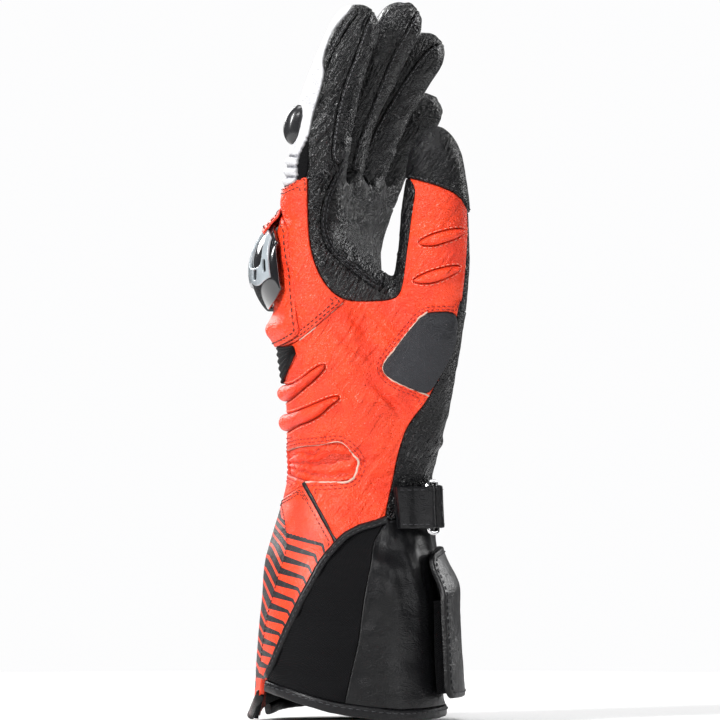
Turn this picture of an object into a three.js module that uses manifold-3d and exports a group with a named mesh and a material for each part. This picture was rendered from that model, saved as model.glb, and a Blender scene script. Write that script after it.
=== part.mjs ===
// Motorcycle gauntlet glove for the left hand, as worn: a hollow shell of sewn leather panels with a flared
// cuff, hard knuckle guards, a wrist strap on a metal loop and a closure flap.
// Millimetres. +Z runs from the cuff's mouth to the fingertips, -X is the back of the hand, +X the palm and
// -Y the thumb's side. The origin is the centre of the cuff's mouth, where the hand goes in.
import * as THREE from "three";
import { mergeVertices } from "three/addons/utils/BufferGeometryUtils.js";
import Module from "manifold-3d";

const wasm = await Module();
wasm.setup();

// Leather and seams
const WALL = 2.0; // leather with its lining
const SEAM = 0.3; // gap between neighbouring pieces
const REST = 0.45; // gap between the leather and what is sewn on top of it

// The body: cuff, wrist and palm
const CUFF_LENGTH = 83;
const WRIST_LENGTH = 25.5;
const PALM_LENGTH = 131.5;
const CUFF_DEPTH = 87;
const CUFF_BREADTH = 114;
const WRIST_DEPTH = 64.6;
const WRIST_BREADTH = 71;
const PALM_DEPTH = 41;
const PALM_BREADTH = 97;

// Fingers and thumb
const FINGER_THICKNESS = 26.5; // from the back to the pad
const FINGER_BREADTH = 22.3;
const INDEX_LENGTH = 83;
const MIDDLE_LENGTH = 89.7;
const RING_LENGTH = 78.6;
const LITTLE_LENGTH = 50;
const THUMB_LENGTH = 156;
const THUMB_WIDTH = 34;
const THUMB_THICKNESS = 28;
const WEB_THICKNESS = 27; // the fold of palm that runs to the thumb

// Hard guards
const KNUCKLE_GUARD_HEIGHT = 8;
const KNUCKLE_GUARD_LENGTH = 41;
const KNUCKLE_GUARD_WALL = 1.8;
const KNUCKLE_FRAME_WALL = 1;
const SURROUND_LENGTH = 60; // the padded leather around the knuckle guard
const SURROUND_WALL = 1.4;
const SURROUND_PADDING = 4.2; // more at its lower end
const FINGER_GUARD_LENGTH = 17;
const FINGER_GUARD_HEIGHT = 3.8;

// Strap, loop and closure flap
const STRAP_WIDTH = 19;
const STRAP_THICKNESS = 1.7;
const LOOP_WIRE = 2.2;
const LOOP_OPENING = 7; // clear distance between the loop's two long bars
const FLAP_HEIGHT = 67;
const FLAP_THICKNESS = 2.8;
const HOOK_PAD_THICKNESS = 6;

// Edging and padding
const PIPING = 3.0;
const HEM = 4.2;
const BAND_WIDTH = 16; // the stretch band across the back of the hand
const BAND_THICKNESS = 1.4;
const BAR_WIDTH = 9;
const BAR_HEIGHT = 2.6;
const THUMB_BAR_WIDTH = 7.5;
const THUMB_BAR_HEIGHT = 1.8;
const GATHER_DEPTH = 1.2; // from a fold's crest to its valley
const FOLDS = 6;

// How finely the round forms are cut
const BODY_SIDES = 24;
const FINGER_SIDES = 12;
const FINGER_INNER_SIDES = 8;
const FINGER_ROWS = 6;
const TIP_ROWS = 2;
const CORD_SIDES = 6;
const FINEST = 0.04; // detail below this is dropped after a cut

const DEGREE = Math.PI / 180;
const BACK = new THREE.Vector3(-1, 0, 0);
const REACH = 400; // longer than any cut

// Turns a table into rows with named columns.
function table(columns, rows) {
  return rows.map((row) => Object.fromEntries(columns.map((name, i) => [name, row[i]])));
}

// A smooth curve through one column of a table whose first column is at.
function sample(rows, at, name) {
  const last = rows.length - 1;
  let i = 0;
  while (i < last - 1 && rows[i + 1].at < at) i++;
  const slope = (k) => {
    const below = rows[Math.max(k - 1, 0)];
    const above = rows[Math.min(k + 1, last)];
    return (above[name] - below[name]) / (above.at - below.at);
  };
  const span = rows[i + 1].at - rows[i].at;
  const t = THREE.MathUtils.clamp((at - rows[i].at) / span, 0, 1);
  const p = rows[i][name];
  const q = rows[i + 1][name];
  const from = slope(i) * span;
  const to = slope(i + 1) * span;
  return p + t * (from + t * (3 * (q - p) - 2 * from - to + t * (2 * (p - q) + from + to)));
}

// A level counts the body's three lengths: 0 the cuff's mouth, 1 the strap, 2 the wrist, 3 the finger webs.
function heightOf(level) {
  if (level <= 1) return level * CUFF_LENGTH;
  if (level <= 2) return CUFF_LENGTH + (level - 1) * WRIST_LENGTH;
  return CUFF_LENGTH + WRIST_LENGTH + (level - 2) * PALM_LENGTH;
}

const WEB_HEIGHT = heightOf(3);

// The body's sections. depth and breadth are shares of that zone's depth and breadth. shift moves the section
// to the palm, skew carries its little-finger side to the palm, and arch raises its middle, as shares of depth.
const BODY_TABLE = table(
  ["level", "depth", "breadth", "shift", "skew", "arch"],
  [
    [0, 1.0, 1.0, -0.054, 0, 0],
    [0.32, 0.956, 0.98, -0.056, 0, 0],
    [0.645, 0.92, 0.93, -0.047, 0, 0],
    [0.86, 0.89, 0.845, -0.045, 0, 0],
    [1.0, 0.834, 0.74, -0.033, 0, 0],
    [1.52, 1.06, 1.04, -0.014, 0, 0],
    [2.0, 1.0, 1.0, 0.0, 0, 0],
    [2.095, 1.64, 0.785, 0.024, 0, 0],
    [2.2, 1.61, 0.856, 0.012, 0.024, 0],
    [2.3, 1.49, 0.928, -0.037, 0.05, 0.024],
    [2.44, 1.317, 0.98, -0.146, 0.1, 0.05],
    [2.57, 1.146, 1.0, -0.22, 0.146, 0.073],
    [2.7, 1.0, 1.0, -0.256, 0.195, 0.085],
    [2.81, 0.854, 0.99, -0.258, 0.29, 0.085],
    [2.9, 0.77, 0.97, -0.2, 0.36, 0.08],
    [3.0, 0.73, 0.95, -0.135, 0.43, 0.073],
  ],
);
const BODY_SQUARENESS = 2.5; // 2 is an ellipse

const BODY = BODY_TABLE.map((row) => {
  const zone = row.level <= 1 ? [CUFF_DEPTH, CUFF_BREADTH] : row.level <= 2
    ? [WRIST_DEPTH, WRIST_BREADTH] : [PALM_DEPTH, PALM_BREADTH];
  return {
    at: heightOf(row.level),
    halfDepth: (row.depth * zone[0]) / 2,
    halfBreadth: (row.breadth * zone[1]) / 2,
    middle: row.shift * zone[0],
    skew: row.skew * zone[0],
    arch: row.arch * zone[0],
  };
});

const signedPower = (value, power) => Math.sign(value) * Math.abs(value) ** power;

// A point of the body's surface. turn runs from the back of the hand, 0, over the thumb's side, a quarter.
function bodyPoint(z, turn, lift = 0) {
  const at = (name) => sample(BODY, z, name);
  const power = 2 / BODY_SQUARENESS;
  const breadth = at("halfBreadth");
  const y = -(breadth + lift) * signedPower(Math.sin(turn), power);
  const x = -(at("halfDepth") + lift) * signedPower(Math.cos(turn), power);
  const across = THREE.MathUtils.clamp(y / breadth, -1, 1);
  return new THREE.Vector3(at("middle") + x + at("skew") * across - at("arch") * (1 - across * across), y, z);
}

// The body's middle at a share of its half breadth, for what stands on its top section.
function bodyMiddle(z, across) {
  const at = (name) => sample(BODY, z, name);
  const x = at("middle") + at("skew") * across - at("arch") * (1 - across * across);
  return new THREE.Vector3(x, across * at("halfBreadth"), z);
}

// Solids

function manifoldOf(points, faces) {
  const vertProperties = new Float32Array(points.flatMap((p) => [p.x, p.y, p.z]));
  return new wasm.Manifold(new wasm.Mesh({ numProp: 3, vertProperties, triVerts: new Uint32Array(faces.flat()) }));
}

function solidOf(geometry) {
  const bare = geometry.clone();
  bare.deleteAttribute("normal");
  bare.deleteAttribute("uv");
  const merged = mergeVertices(bare, 1e-4);
  return new wasm.Manifold(new wasm.Mesh({
    numProp: 3,
    vertProperties: new Float32Array(merged.attributes.position.array),
    triVerts: new Uint32Array(merged.index.array),
  }));
}

// A closed skin over rings of points, which turn anticlockwise seen from where the rings go. A looped skin
// joins its last ring to its first, and any other is closed with a fan on each end's middle.
function loft(rings, { looped = false, tip = null } = {}) {
  const around = rings[0].length;
  const points = rings.flat();
  const faces = [];
  const steps = looped ? rings.length : rings.length - 1;
  for (let i = 0; i < steps; i++) {
    const next = (i + 1) % rings.length;
    for (let j = 0; j < around; j++) {
      const k = (j + 1) % around;
      const [a, b, c, d] = [i * around + j, i * around + k, next * around + k, next * around + j];
      faces.push([a, b, c], [a, c, d]);
    }
  }
  if (!looped) {
    const mean = (ring) => ring.reduce((sum, p) => sum.add(p), new THREE.Vector3()).divideScalar(around);
    const start = points.push(mean(rings[0])) - 1;
    const end = points.push(tip ?? mean(rings.at(-1))) - 1;
    const top = (rings.length - 1) * around;
    for (let j = 0; j < around; j++) {
      const k = (j + 1) % around;
      faces.push([start, k, j], [end, top + j, top + k]);
    }
  }
  return manifoldOf(points, faces);
}

const union = (solids) => solids.reduce((sum, solid) => sum.add(solid));

// The main body of a cut, without the crumbs and slivers that a curved seam leaves.
function mainBody(solid) {
  const largest = solid.decompose().reduce((best, body) => (body.volume() > best.volume() ? body : best));
  return largest.simplify(FINEST);
}

const above = (solid, z) => solid.trimByPlane([0, 0, 1], z);
const below = (solid, z) => solid.trimByPlane([0, 0, -1], -z);

// A thin solid over a patch of a surface, from one lift to another. place(u, v) gives the surface's own two
// coordinates, and lifts(u, v) the lower and the upper lift. u runs around the surface and v up it.
function patch(surface, place, lifts, columns, rows) {
  const points = [];
  const index = (side, i, j) => (side * (rows + 1) + i) * (columns + 1) + j;
  for (const side of [0, 1]) {
    for (let i = 0; i <= rows; i++) {
      for (let j = 0; j <= columns; j++) {
        const [u, v] = [j / columns, i / rows];
        points.push(surface(...place(u, v), lifts(u, v)[side]));
      }
    }
  }
  const faces = [];
  const quad = (a, b, c, d) => faces.push([a, b, c], [a, c, d]);
  for (let i = 0; i < rows; i++) {
    for (let j = 0; j < columns; j++) {
      quad(index(1, i, j), index(1, i, j + 1), index(1, i + 1, j + 1), index(1, i + 1, j));
      quad(index(0, i, j), index(0, i + 1, j), index(0, i + 1, j + 1), index(0, i, j + 1));
    }
  }
  for (let j = 0; j < columns; j++) {
    quad(index(0, 0, j), index(0, 0, j + 1), index(1, 0, j + 1), index(1, 0, j));
    quad(index(1, rows, j), index(1, rows, j + 1), index(0, rows, j + 1), index(0, rows, j));
  }
  for (let i = 0; i < rows; i++) {
    quad(index(0, i, 0), index(1, i, 0), index(1, i + 1, 0), index(0, i + 1, 0));
    quad(index(0, i, columns), index(0, i + 1, columns), index(1, i + 1, columns), index(1, i, columns));
  }
  return manifoldOf(points, faces);
}

// A round cord along a row of points, with flat ends or closed on itself.
function cord(points, diameter, looped = false) {
  const curve = new THREE.CatmullRomCurve3(points, looped, "centripetal");
  const steps = Math.round(points.length * 1.2);
  const frames = curve.computeFrenetFrames(steps, looped);
  const rings = [];
  for (let i = 0; i < (looped ? steps : steps + 1); i++) {
    const centre = curve.getPointAt(i / steps);
    rings.push(Array.from({ length: CORD_SIDES }, (_, j) => {
      const angle = (j / CORD_SIDES) * 2 * Math.PI;
      return centre.clone()
        .addScaledVector(frames.normals[i], (Math.cos(angle) * diameter) / 2)
        .addScaledVector(frames.binormals[i], (Math.sin(angle) * diameter) / 2);
    }));
  }
  return loft(rings, { looped });
}

// A flat band along a row of points, each with the band's width direction there, from its lower edge up.
function band(route, thickness, width) {
  const rings = route.map(({ point, widthwise }, i) => {
    const before = route[Math.max(i - 1, 0)].point;
    const after = route[Math.min(i + 1, route.length - 1)].point;
    const along = new THREE.Vector3().subVectors(after, before).normalize();
    const normal = new THREE.Vector3().crossVectors(along, widthwise).normalize();
    return [[-1, -1], [-1, 1], [1, 1], [1, -1]].map(([out, up]) => point.clone()
      .addScaledVector(normal, (out * thickness) / 2)
      .addScaledVector(widthwise, (up * width) / 2));
  });
  return loft(rings);
}

// Fingers and thumb: tubes along a bent centre line

const FINGER_TAPER = table(
  ["at", "thickness", "breadth"],
  [
    [0, 1.0, 1.0],
    [0.36, 0.95, 1.0],
    [0.68, 0.86, 0.97],
    [1, 0.72, 0.86],
  ],
);
const THUMB_TAPER = table(
  ["at", "thickness", "breadth"],
  [
    [0, 0.7, 0.85],
    [0.15, 0.84, 1.0],
    [0.35, 0.97, 1.04],
    [0.5, 1.0, 1.0],
    [0.66, 0.95, 0.95],
    [0.8, 0.88, 0.88],
    [1, 0.74, 0.76],
  ],
);
const WEB_TAPER = table(["at", "thickness", "breadth"], [[0, 0.6, 0.7], [0.3, 0.95, 1.0], [1, 0.9, 1.0]]);

// thickness is measured in the plane of the bend, and breadth across it. With tip, the far end is round.
function tube(points, thickness, breadth, taper, tip = true) {
  const curve = new THREE.CatmullRomCurve3(points, false, "centripetal");
  const length = curve.getLength();
  const roundFrom = tip ? 1 - (0.44 * thickness) / length : 1;
  const frame = (at) => {
    const along = curve.getTangentAt(at);
    const back = BACK.clone().addScaledVector(along, -along.dot(BACK)).normalize();
    return { centre: curve.getPointAt(at), back, side: new THREE.Vector3().crossVectors(along, back) };
  };
  const rounding = (at) => (at <= roundFrom ? 1 : Math.sqrt(1 - ((at - roundFrom) / (1 - roundFrom)) ** 2));
  const surface = (at, turn, lift = 0) => {
    const { centre, back, side } = frame(at);
    const round = rounding(at);
    const a = round * ((sample(taper, at, "thickness") * thickness) / 2 + lift);
    const b = round * ((sample(taper, at, "breadth") * breadth) / 2 + lift);
    return centre.addScaledVector(back, a * Math.cos(turn)).addScaledVector(side, b * Math.sin(turn));
  };
  const stations = Array.from({ length: FINGER_ROWS + 1 }, (_, i) => (i / FINGER_ROWS) * roundFrom);
  if (tip) {
    for (let i = 1; i <= TIP_ROWS; i++) {
      stations.push(roundFrom + (1 - roundFrom) * Math.sin((i / (TIP_ROWS + 1)) * 90 * DEGREE));
    }
  }
  // The solid inside the surface raised by lift, with its far end moved along by the same.
  const solid = (lift, stretch, sides) => {
    const end = curve.getTangentAt(1).multiplyScalar(stretch);
    const rings = stations.map((at) => Array.from({ length: sides }, (_, j) =>
      surface(at, (j / sides) * 2 * Math.PI, lift).addScaledVector(end, at ** 8)));
    return loft(rings, { tip: curve.getPointAt(1).add(end) });
  };
  return {
    surface,
    length,
    outer: (lift = 0) => solid(lift, tip ? lift : 0, FINGER_SIDES),
    inner: () => solid(-WALL, tip ? -WALL : 0, FINGER_INNER_SIDES),
  };
}

// The side-view outline of what lies further to a tube's back than a share of its half thickness.
function backOutline(surface, from, to, share) {
  const steps = 7;
  const inner = [];
  const outer = [];
  for (let i = 0; i <= steps; i++) {
    const at = from + ((to - from) * i) / steps;
    const back = surface(at, 0);
    const middle = surface(at, Math.PI).add(back).divideScalar(2);
    const edge = middle.clone().lerp(back, share);
    const beyond = middle.clone().lerp(back, 1.6);
    inner.push(new THREE.Vector2(edge.x, edge.z));
    outer.push(new THREE.Vector2(beyond.x, beyond.z));
  }
  return [...inner, ...outer.reverse()];
}

// Bones are shares of the finger's length, and leans are degrees from upright to the palm. across places the
// root on the body's top section, as a share of its half breadth, and splay leans the finger sideways.
// backEnd and backShare say how far up the finger and how far down its sides its back panel reaches.
const FINGERS = table(
  ["name", "length", "across", "size", "splay", "bones", "leans", "backEnd", "backShare", "guarded"],
  [
    ["index", INDEX_LENGTH, -0.745, 1.0, -1.5, [0.33, 0.32, 0.35], [9, 16, 22], 0.93, 0.55, true],
    ["middle", MIDDLE_LENGTH, -0.247, 1.0, -0.5, [0.33, 0.337, 0.333], [13, 27.5, 31], 0.78, 0.55, true],
    ["ring", RING_LENGTH, 0.248, 0.985, 0.6, [0.4, 0.341, 0.259], [23, 32, 37], 0.78, 0.55, true],
    ["little", LITTLE_LENGTH, 0.722, 0.9, 2.5, [0.347, 0.335, 0.318], [30, 36, 38.5], 0.78, 0.5, false],
  ],
);
const ROOT_DEPTH = 10; // how far a finger's tube starts below its web, before it is trimmed there

function lean(degrees, splay) {
  const [a, b] = [degrees * DEGREE, splay * DEGREE];
  return new THREE.Vector3(Math.sin(a), Math.sin(b), Math.cos(a)).normalize();
}

const fingerTubes = FINGERS.map((finger) => {
  const root = bodyMiddle(WEB_HEIGHT, finger.across);
  const points = [root.clone().addScaledVector(lean(finger.leans[0], finger.splay), -ROOT_DEPTH), root];
  finger.bones.forEach((share, i) => points.push(
    points.at(-1).clone().addScaledVector(lean(finger.leans[i], finger.splay), share * finger.length)));
  return tube(points, FINGER_THICKNESS * finger.size, FINGER_BREADTH * finger.size, FINGER_TAPER);
});

// The thumb's bones, from the wrist's corner of the palm. out leans it away from the palm, to its own side.
const THUMB_BONES = table(
  ["share", "lean", "out"],
  [
    [0.12, 10.5, -19],
    [0.235, 6, -17],
    [0.235, 7.5, -14],
    [0.14, 2.5, -11],
    [0.27, 0.5, -6],
  ],
);
const THUMB_ROOT = { level: 2.04, along: 0.62, across: -0.42 }; // shares of the body's half depth and breadth

const thumbRoot = bodyMiddle(heightOf(THUMB_ROOT.level), THUMB_ROOT.across);
thumbRoot.x += THUMB_ROOT.along * sample(BODY, thumbRoot.z, "halfDepth");
const thumbPoints = [thumbRoot];
for (const bone of THUMB_BONES) {
  const step = lean(bone.lean, bone.out).multiplyScalar(bone.share * THUMB_LENGTH);
  thumbPoints.push(thumbPoints.at(-1).clone().add(step));
}
const thumb = tube(thumbPoints, THUMB_WIDTH, THUMB_THICKNESS, THUMB_TAPER);

// The fold of palm from the index finger's root over the crotch and down beside the thumb.
const WEB_LINE = table(
  ["level", "across", "forward"], // shares of the body's half breadth and half depth
  [
    [2.94, -0.62, -0.05],
    [2.8, -0.62, 0.12],
    [2.69, -0.63, 0.45],
    [2.58, -0.66, 1.02],
    [2.44, -0.66, 0.98],
    [2.28, -0.62, 0.72],
  ],
);
const webPoints = WEB_LINE.map(({ level, across, forward }) => {
  const point = bodyMiddle(heightOf(level), across);
  point.x += forward * sample(BODY, point.z, "halfDepth");
  return point;
});
const web = tube(webPoints, WEB_THICKNESS, WEB_THICKNESS, WEB_TAPER, false);

// The shell

// The body's rings lie closer where its profile bends.
const RING_LEVELS = [0, 0.45, 0.84, 1, 1.2, 1.52, 1.76, 2, 2.095, 2.2, 2.32, 2.44, 2.57, 2.7, 2.81, 2.9, 3];

// The solid inside the body's surface raised by lift. Both of its ends move down by drop.
function bodySolid(lift, drop) {
  const rings = RING_LEVELS.map((level) => Array.from({ length: BODY_SIDES }, (_, j) => {
    const point = bodyPoint(heightOf(level), (j / BODY_SIDES) * 2 * Math.PI, lift);
    if (level === 0 || level === 3) point.z -= drop;
    return point;
  }));
  return loft(rings);
}

const CROTCH_HEIGHT = heightOf(2.63); // the thumb's own panels start here
const bodyOuter = bodySolid(0, 0);
const bodyInner = bodySolid(-WALL, WALL);
const thumbBase = below(thumb.outer(), CROTCH_HEIGHT);
const thumbSpace = above(thumb.outer(SEAM), CROTCH_HEIGHT); // the hand's panels stop short of the thumb's own
const shell = union([bodyOuter, below(web.outer(), WEB_HEIGHT), thumbBase])
  .subtract(union([bodyInner, below(web.inner(), WEB_HEIGHT - WALL), thumb.inner(), thumbSpace]))
  .subtract(union(fingerTubes.map((finger) => finger.inner())));

// Panels are cut from the shell by outlines drawn in the side view. across is a share of the body's half depth
// from its middle, - to the back and + to the palm. level is a height as in heightOf.
function outlinePoints(outline) {
  return outline.map(([across, level]) => {
    const z = heightOf(level);
    const held = THREE.MathUtils.clamp(z, 0, WEB_HEIGHT);
    return new THREE.Vector2(sample(BODY, held, "middle") + across * sample(BODY, held, "halfDepth"), z);
  });
}

// Moves each corner of an outline outwards.
function grown(points, distance) {
  const outward = THREE.ShapeUtils.area(points) > 0 ? 1 : -1;
  const normal = (a, b) => new THREE.Vector2(b.y - a.y, a.x - b.x).normalize().multiplyScalar(outward);
  return points.map((point, i) => {
    const before = points[(i + points.length - 1) % points.length];
    const after = points[(i + 1) % points.length];
    const [m, n] = [normal(before, point), normal(point, after)];
    const middle = new THREE.Vector2().addVectors(m, n).normalize();
    return point.clone().addScaledVector(middle, distance / Math.max(middle.dot(n), 0.4));
  });
}

// An outline carried through the glove from one y to another, and grown by a distance on all sides.
function prism(points, from, to, distance = 0) {
  const shape = new THREE.Shape(grown(points, distance));
  const geometry = new THREE.ExtrudeGeometry(shape, { depth: to - from + 2 * distance, bevelEnabled: false });
  return solidOf(geometry.rotateX(Math.PI / 2).translate(0, to + distance, 0));
}

const PART_LINE = 0; // near outlines cut the thumb's side up to here, and far ones the other side
const OVERLAP = 0.05; // so that the two sides of a panel join
const THUMB_MIDDLE = -0.31 * PALM_BREADTH;
const WEB_EDGE = -0.17 * PALM_BREADTH; // where the web's own panel ends on the palm
const THUMB_INSIDE = -0.36 * PALM_BREADTH; // the thumb's base faces the palm from here on

const between = (from, to) => (outline) => (distance) => prism(outlinePoints(outline), from, to, distance);
const near = between(-REACH, PART_LINE + OVERLAP);
const far = between(PART_LINE - OVERLAP, REACH);
const onThumb = between(-REACH, THUMB_MIDDLE);
const onWeb = between(-REACH, WEB_EDGE);
const onPalm = between(THUMB_INSIDE, PART_LINE + OVERLAP);

// The cuff's lower edge: its level at each share of the half depth, near the thumb's side and far from it.
const HEM_TABLE = table(
  ["at", "near", "far"],
  [
    [-0.93, 0.235, 0.06],
    [-0.83, 0.22, 0.085],
    [-0.52, 0.17, 0.11],
    [-0.05, 0.11, 0.09],
    [0.53, 0.075, 0.07],
    [1.0, 0.085, 0.085],
  ],
);
const hemLevel = (across, side) => sample(HEM_TABLE, across, side > 0 ? "near" : "far");
const hemLine = (side) => [-0.93, -0.83, -0.7, -0.52, -0.3, -0.05, 0.24, 0.53, 0.8, 1]
  .map((at) => [at, hemLevel(at, side)]);
const TONGUE = [[-0.98, 0.02], [-0.99, -0.3]]; // where the cuff's back runs on below the hem
const DIAGONAL = [[-0.28, 0.97], [-0.42, 0.83], [-0.58, 0.67], [-0.72, 0.48], [-0.86, 0.29], [-0.93, 0.16]];
const SIDE_SEAM = [[0.33, 1.24], [0.23, 0.97], [0.12, 0.65], [0.06, 0.37], [-0.05, 0.08]];
const CUFF_TOP = 1.24;
const BEYOND = 5; // past the glove on either side

const BELOW_HEM = [[BEYOND, 0.085], [BEYOND, -0.3], ...TONGUE.toReversed()];
const BELOW_NEAR_HEM = [...hemLine(1), ...BELOW_HEM, [-0.93, 0.16]];
const BELOW_FAR_HEM = [...hemLine(-1), ...BELOW_HEM];
const CUFF_BACK_NEAR = [[-BEYOND, 1.66], [-1.01, 1.66], [-0.76, 1.93], [-0.23, 0.99], ...DIAGONAL, ...TONGUE,
  [-BEYOND, -0.3]];
const CUFF_BACK_FAR = [[-BEYOND, 1.66], [-1.01, 1.66], [-0.6, 1.4], ...DIAGONAL, ...TONGUE, [-BEYOND, -0.3]];
const CUFF_SIDE = [[0, 1.16], ...SIDE_SEAM, [-0.52, 0.1], ...DIAGONAL.toReversed(), [-0.23, 0.99]];
const CUFF_PALM_NEAR = [...SIDE_SEAM, [-0.05, -0.2], [BEYOND, -0.2], [BEYOND, CUFF_TOP]];
const CUFF_PALM_FAR = [[-0.5, CUFF_TOP], ...DIAGONAL, [-0.93, -0.2], [BEYOND, -0.2], [BEYOND, CUFF_TOP]];

const WEBBING = [[-1.3, 3.2], [-1.24, 3], [-0.74, 2.83], [-0.58, 2.76], [-0.41, 2.7], [-0.25, 2.66], [0.02, 2.61],
  [0.3, 2.595], [1.02, 2.605], [2.2, 2.62], [2.2, 2.66], [1, 2.655], [0.71, 2.667], [0.3, 2.713], [-0.02, 2.755],
  [-0.36, 2.83], [-0.5, 2.93], [-0.4, 3], [-0.3, 3.2]];
const THUMB_PATCH = [[1.65, 2.56], [3.2, 2.565], [2.4, 2.46], [1.5, 2.37], [1.03, 2.285], [0.81, 2.31],
  [0.55, 2.34], [0.48, 2.37], [0.5, 2.39], [0.69, 2.42], [1.07, 2.49], [1.47, 2.55]];
const PALM_UPPER = [[-0.36, 3.2], [-0.4, 3], [-0.5, 2.93], [-0.36, 2.83], [-0.02, 2.755], [0.3, 2.713],
  [0.71, 2.667], [1, 2.655], [2.2, 2.66], [2.2, 3.2]];
const PALM_LOWER = [[0.33, CUFF_TOP], [0.39, 1.61], [0.46, 2], [0.51, 2.11], [0.59, 2.16], [0.7, 2.2],
  [1.03, 2.285], [1.45, 2.36], [2, 2.42], [BEYOND, 2.52], [BEYOND, CUFF_TOP]];
const PALM_INSIDE = [[0.1, CUFF_TOP], [0.1, 2.1], [0.2, 2.4], [0.2, 2.8], [-0.1, 3.2], [BEYOND, 3.2],
  [BEYOND, CUFF_TOP]];
const PALM_FAR = [[0, CUFF_TOP], [0, 2.2], [0.1, 2.4], [0.3, 2.65], [0.55, 2.85], [0.85, 3], [0.95, 3.2],
  [BEYOND, 3.2], [BEYOND, CUFF_TOP]];
const GATHER_WINDOW = [[-0.94, 2.1], [-0.7, 2.12], [-0.27, 2.12], [-0.05, 2.06], [-0.11, 1.98], [-0.76, 1.94],
  [-0.96, 2.02]];

// What is left of the shell while the panels are cut from it, one after another.
let uncut = shell.subtract(union([near(BELOW_NEAR_HEM)(0), far(BELOW_FAR_HEM)(0)]));

function cutPanel(cutters) {
  const panel = uncut.intersect(union(cutters.map((cutter) => cutter(0))));
  uncut = uncut.subtract(union(cutters.map((cutter) => cutter(SEAM))));
  return mainBody(panel);
}

const cuffBack = cutPanel([near(CUFF_BACK_NEAR), far(CUFF_BACK_FAR)]);
const cuffSide = cutPanel([near(CUFF_SIDE)]);
const cuffPalm = cutPanel([near(CUFF_PALM_NEAR), far(CUFF_PALM_FAR)]);
const thumbPatch = cutPanel([onThumb(THUMB_PATCH)]);
const webbing = cutPanel([onWeb(WEBBING)]);
const palm = cutPanel([near(PALM_UPPER), near(PALM_LOWER), onPalm(PALM_INSIDE), far(PALM_FAR)]);
cutPanel([near(GATHER_WINDOW)]);
const handBack = mainBody(uncut);

// What is sewn or fixed on top

const dome = (t) => Math.max(0, 1 - Math.abs(2 * t - 1) ** 2.4) ** 0.7;
const turns = (from, to) => (u) => (from + (to - from) * u) * DEGREE;

// A padded bar over the back of the wrist. Its ends taper, and they lie rise higher than its middle.
function wristBar(level, rise) {
  const turn = turns(-80, 80);
  const middle = (u) => heightOf(level) + rise * PALM_LENGTH * (2 * u - 1) ** 2;
  const half = (u) => (BAR_WIDTH / 2) * (1 - 0.75 * Math.abs(2 * u - 1) ** 3);
  const place = (u, v) => [middle(u) + (2 * v - 1) * half(u), turn(u)];
  const lifts = (u, v) => [REST, REST + 0.4 + BAR_HEIGHT * dome(v) * (1 - 0.6 * Math.abs(2 * u - 1) ** 3)];
  return patch(bodyPoint, place, lifts, 10, 3);
}

// The leather gathered over elastic in the window at the back of the wrist.
function gather() {
  const [low, high] = [heightOf(1.9), heightOf(2.16)];
  const place = (u, v) => [low + (high - low) * v, turns(0, 115)(u)];
  const fold = (v) => (GATHER_DEPTH / 2) * Math.cos(2 * Math.PI * FOLDS * v);
  const sheet = patch(bodyPoint, place, (u, v) => [-WALL, fold(v) - GATHER_DEPTH / 2 - 0.1], 6, 2 * FOLDS);
  return mainBody(sheet.intersect(near(GATHER_WINDOW)(0)));
}

// The raised lens of padding on the thumb's side.
function thumbBar(at) {
  const turn = turns(48, 146);
  const half = (u) => (THUMB_BAR_WIDTH / 2 / thumb.length) * (0.15 + 0.85 * dome(u));
  const place = (u, v) => [at + (0.03 * (2 * u - 1)) + (2 * v - 1) * half(u), turn(u)];
  const lifts = (u, v) => [REST, REST + 0.4 + THUMB_BAR_HEIGHT * dome(v) * dome(u)];
  return patch(thumb.surface, place, lifts, 7, 3);
}

const KNUCKLE_TURNS = turns(-46, 50);
const KNUCKLE_LOW = heightOf(2.568);
const SURROUND_LOW = heightOf(2.445);

// The padded leather that the knuckle guard sits in, thickest at its lower end.
function knuckleSurround() {
  const place = (u, v) => {
    const low = SURROUND_LOW + 0.12 * SURROUND_LENGTH * (1 - dome(u));
    const high = SURROUND_LOW + SURROUND_LENGTH * (0.86 + 0.14 * dome(u));
    return [low + (high - low) * v, turns(-56, 62)(u)];
  };
  const padding = (v) => SURROUND_PADDING * Math.exp(-(((v - 0.13) / 0.09) ** 2));
  const lifts = (u, v) => [2 * SEAM, 2 * SEAM + SURROUND_WALL + padding(v) * dome(u)];
  return patch(bodyPoint, place, lifts, 8, 7);
}

// A place and a lift on the knuckle guard, which rises steeply from its lower edge.
function guardPlace(u, v) {
  const length = KNUCKLE_GUARD_LENGTH * (0.5 + 0.5 * dome(u));
  return [KNUCKLE_LOW + (KNUCKLE_GUARD_LENGTH - length) / 2 + v * length, KNUCKLE_TURNS(u)];
}
const guardLift = (u, v) => 5 * SEAM + SURROUND_WALL
  + KNUCKLE_GUARD_HEIGHT * dome(u) * Math.abs(Math.sin(Math.PI * v ** 0.92)) ** 0.85;

function knuckleGuard() {
  return patch(bodyPoint, guardPlace, (u, v) => [guardLift(u, v), guardLift(u, v) + KNUCKLE_GUARD_WALL], 9, 6);
}

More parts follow.
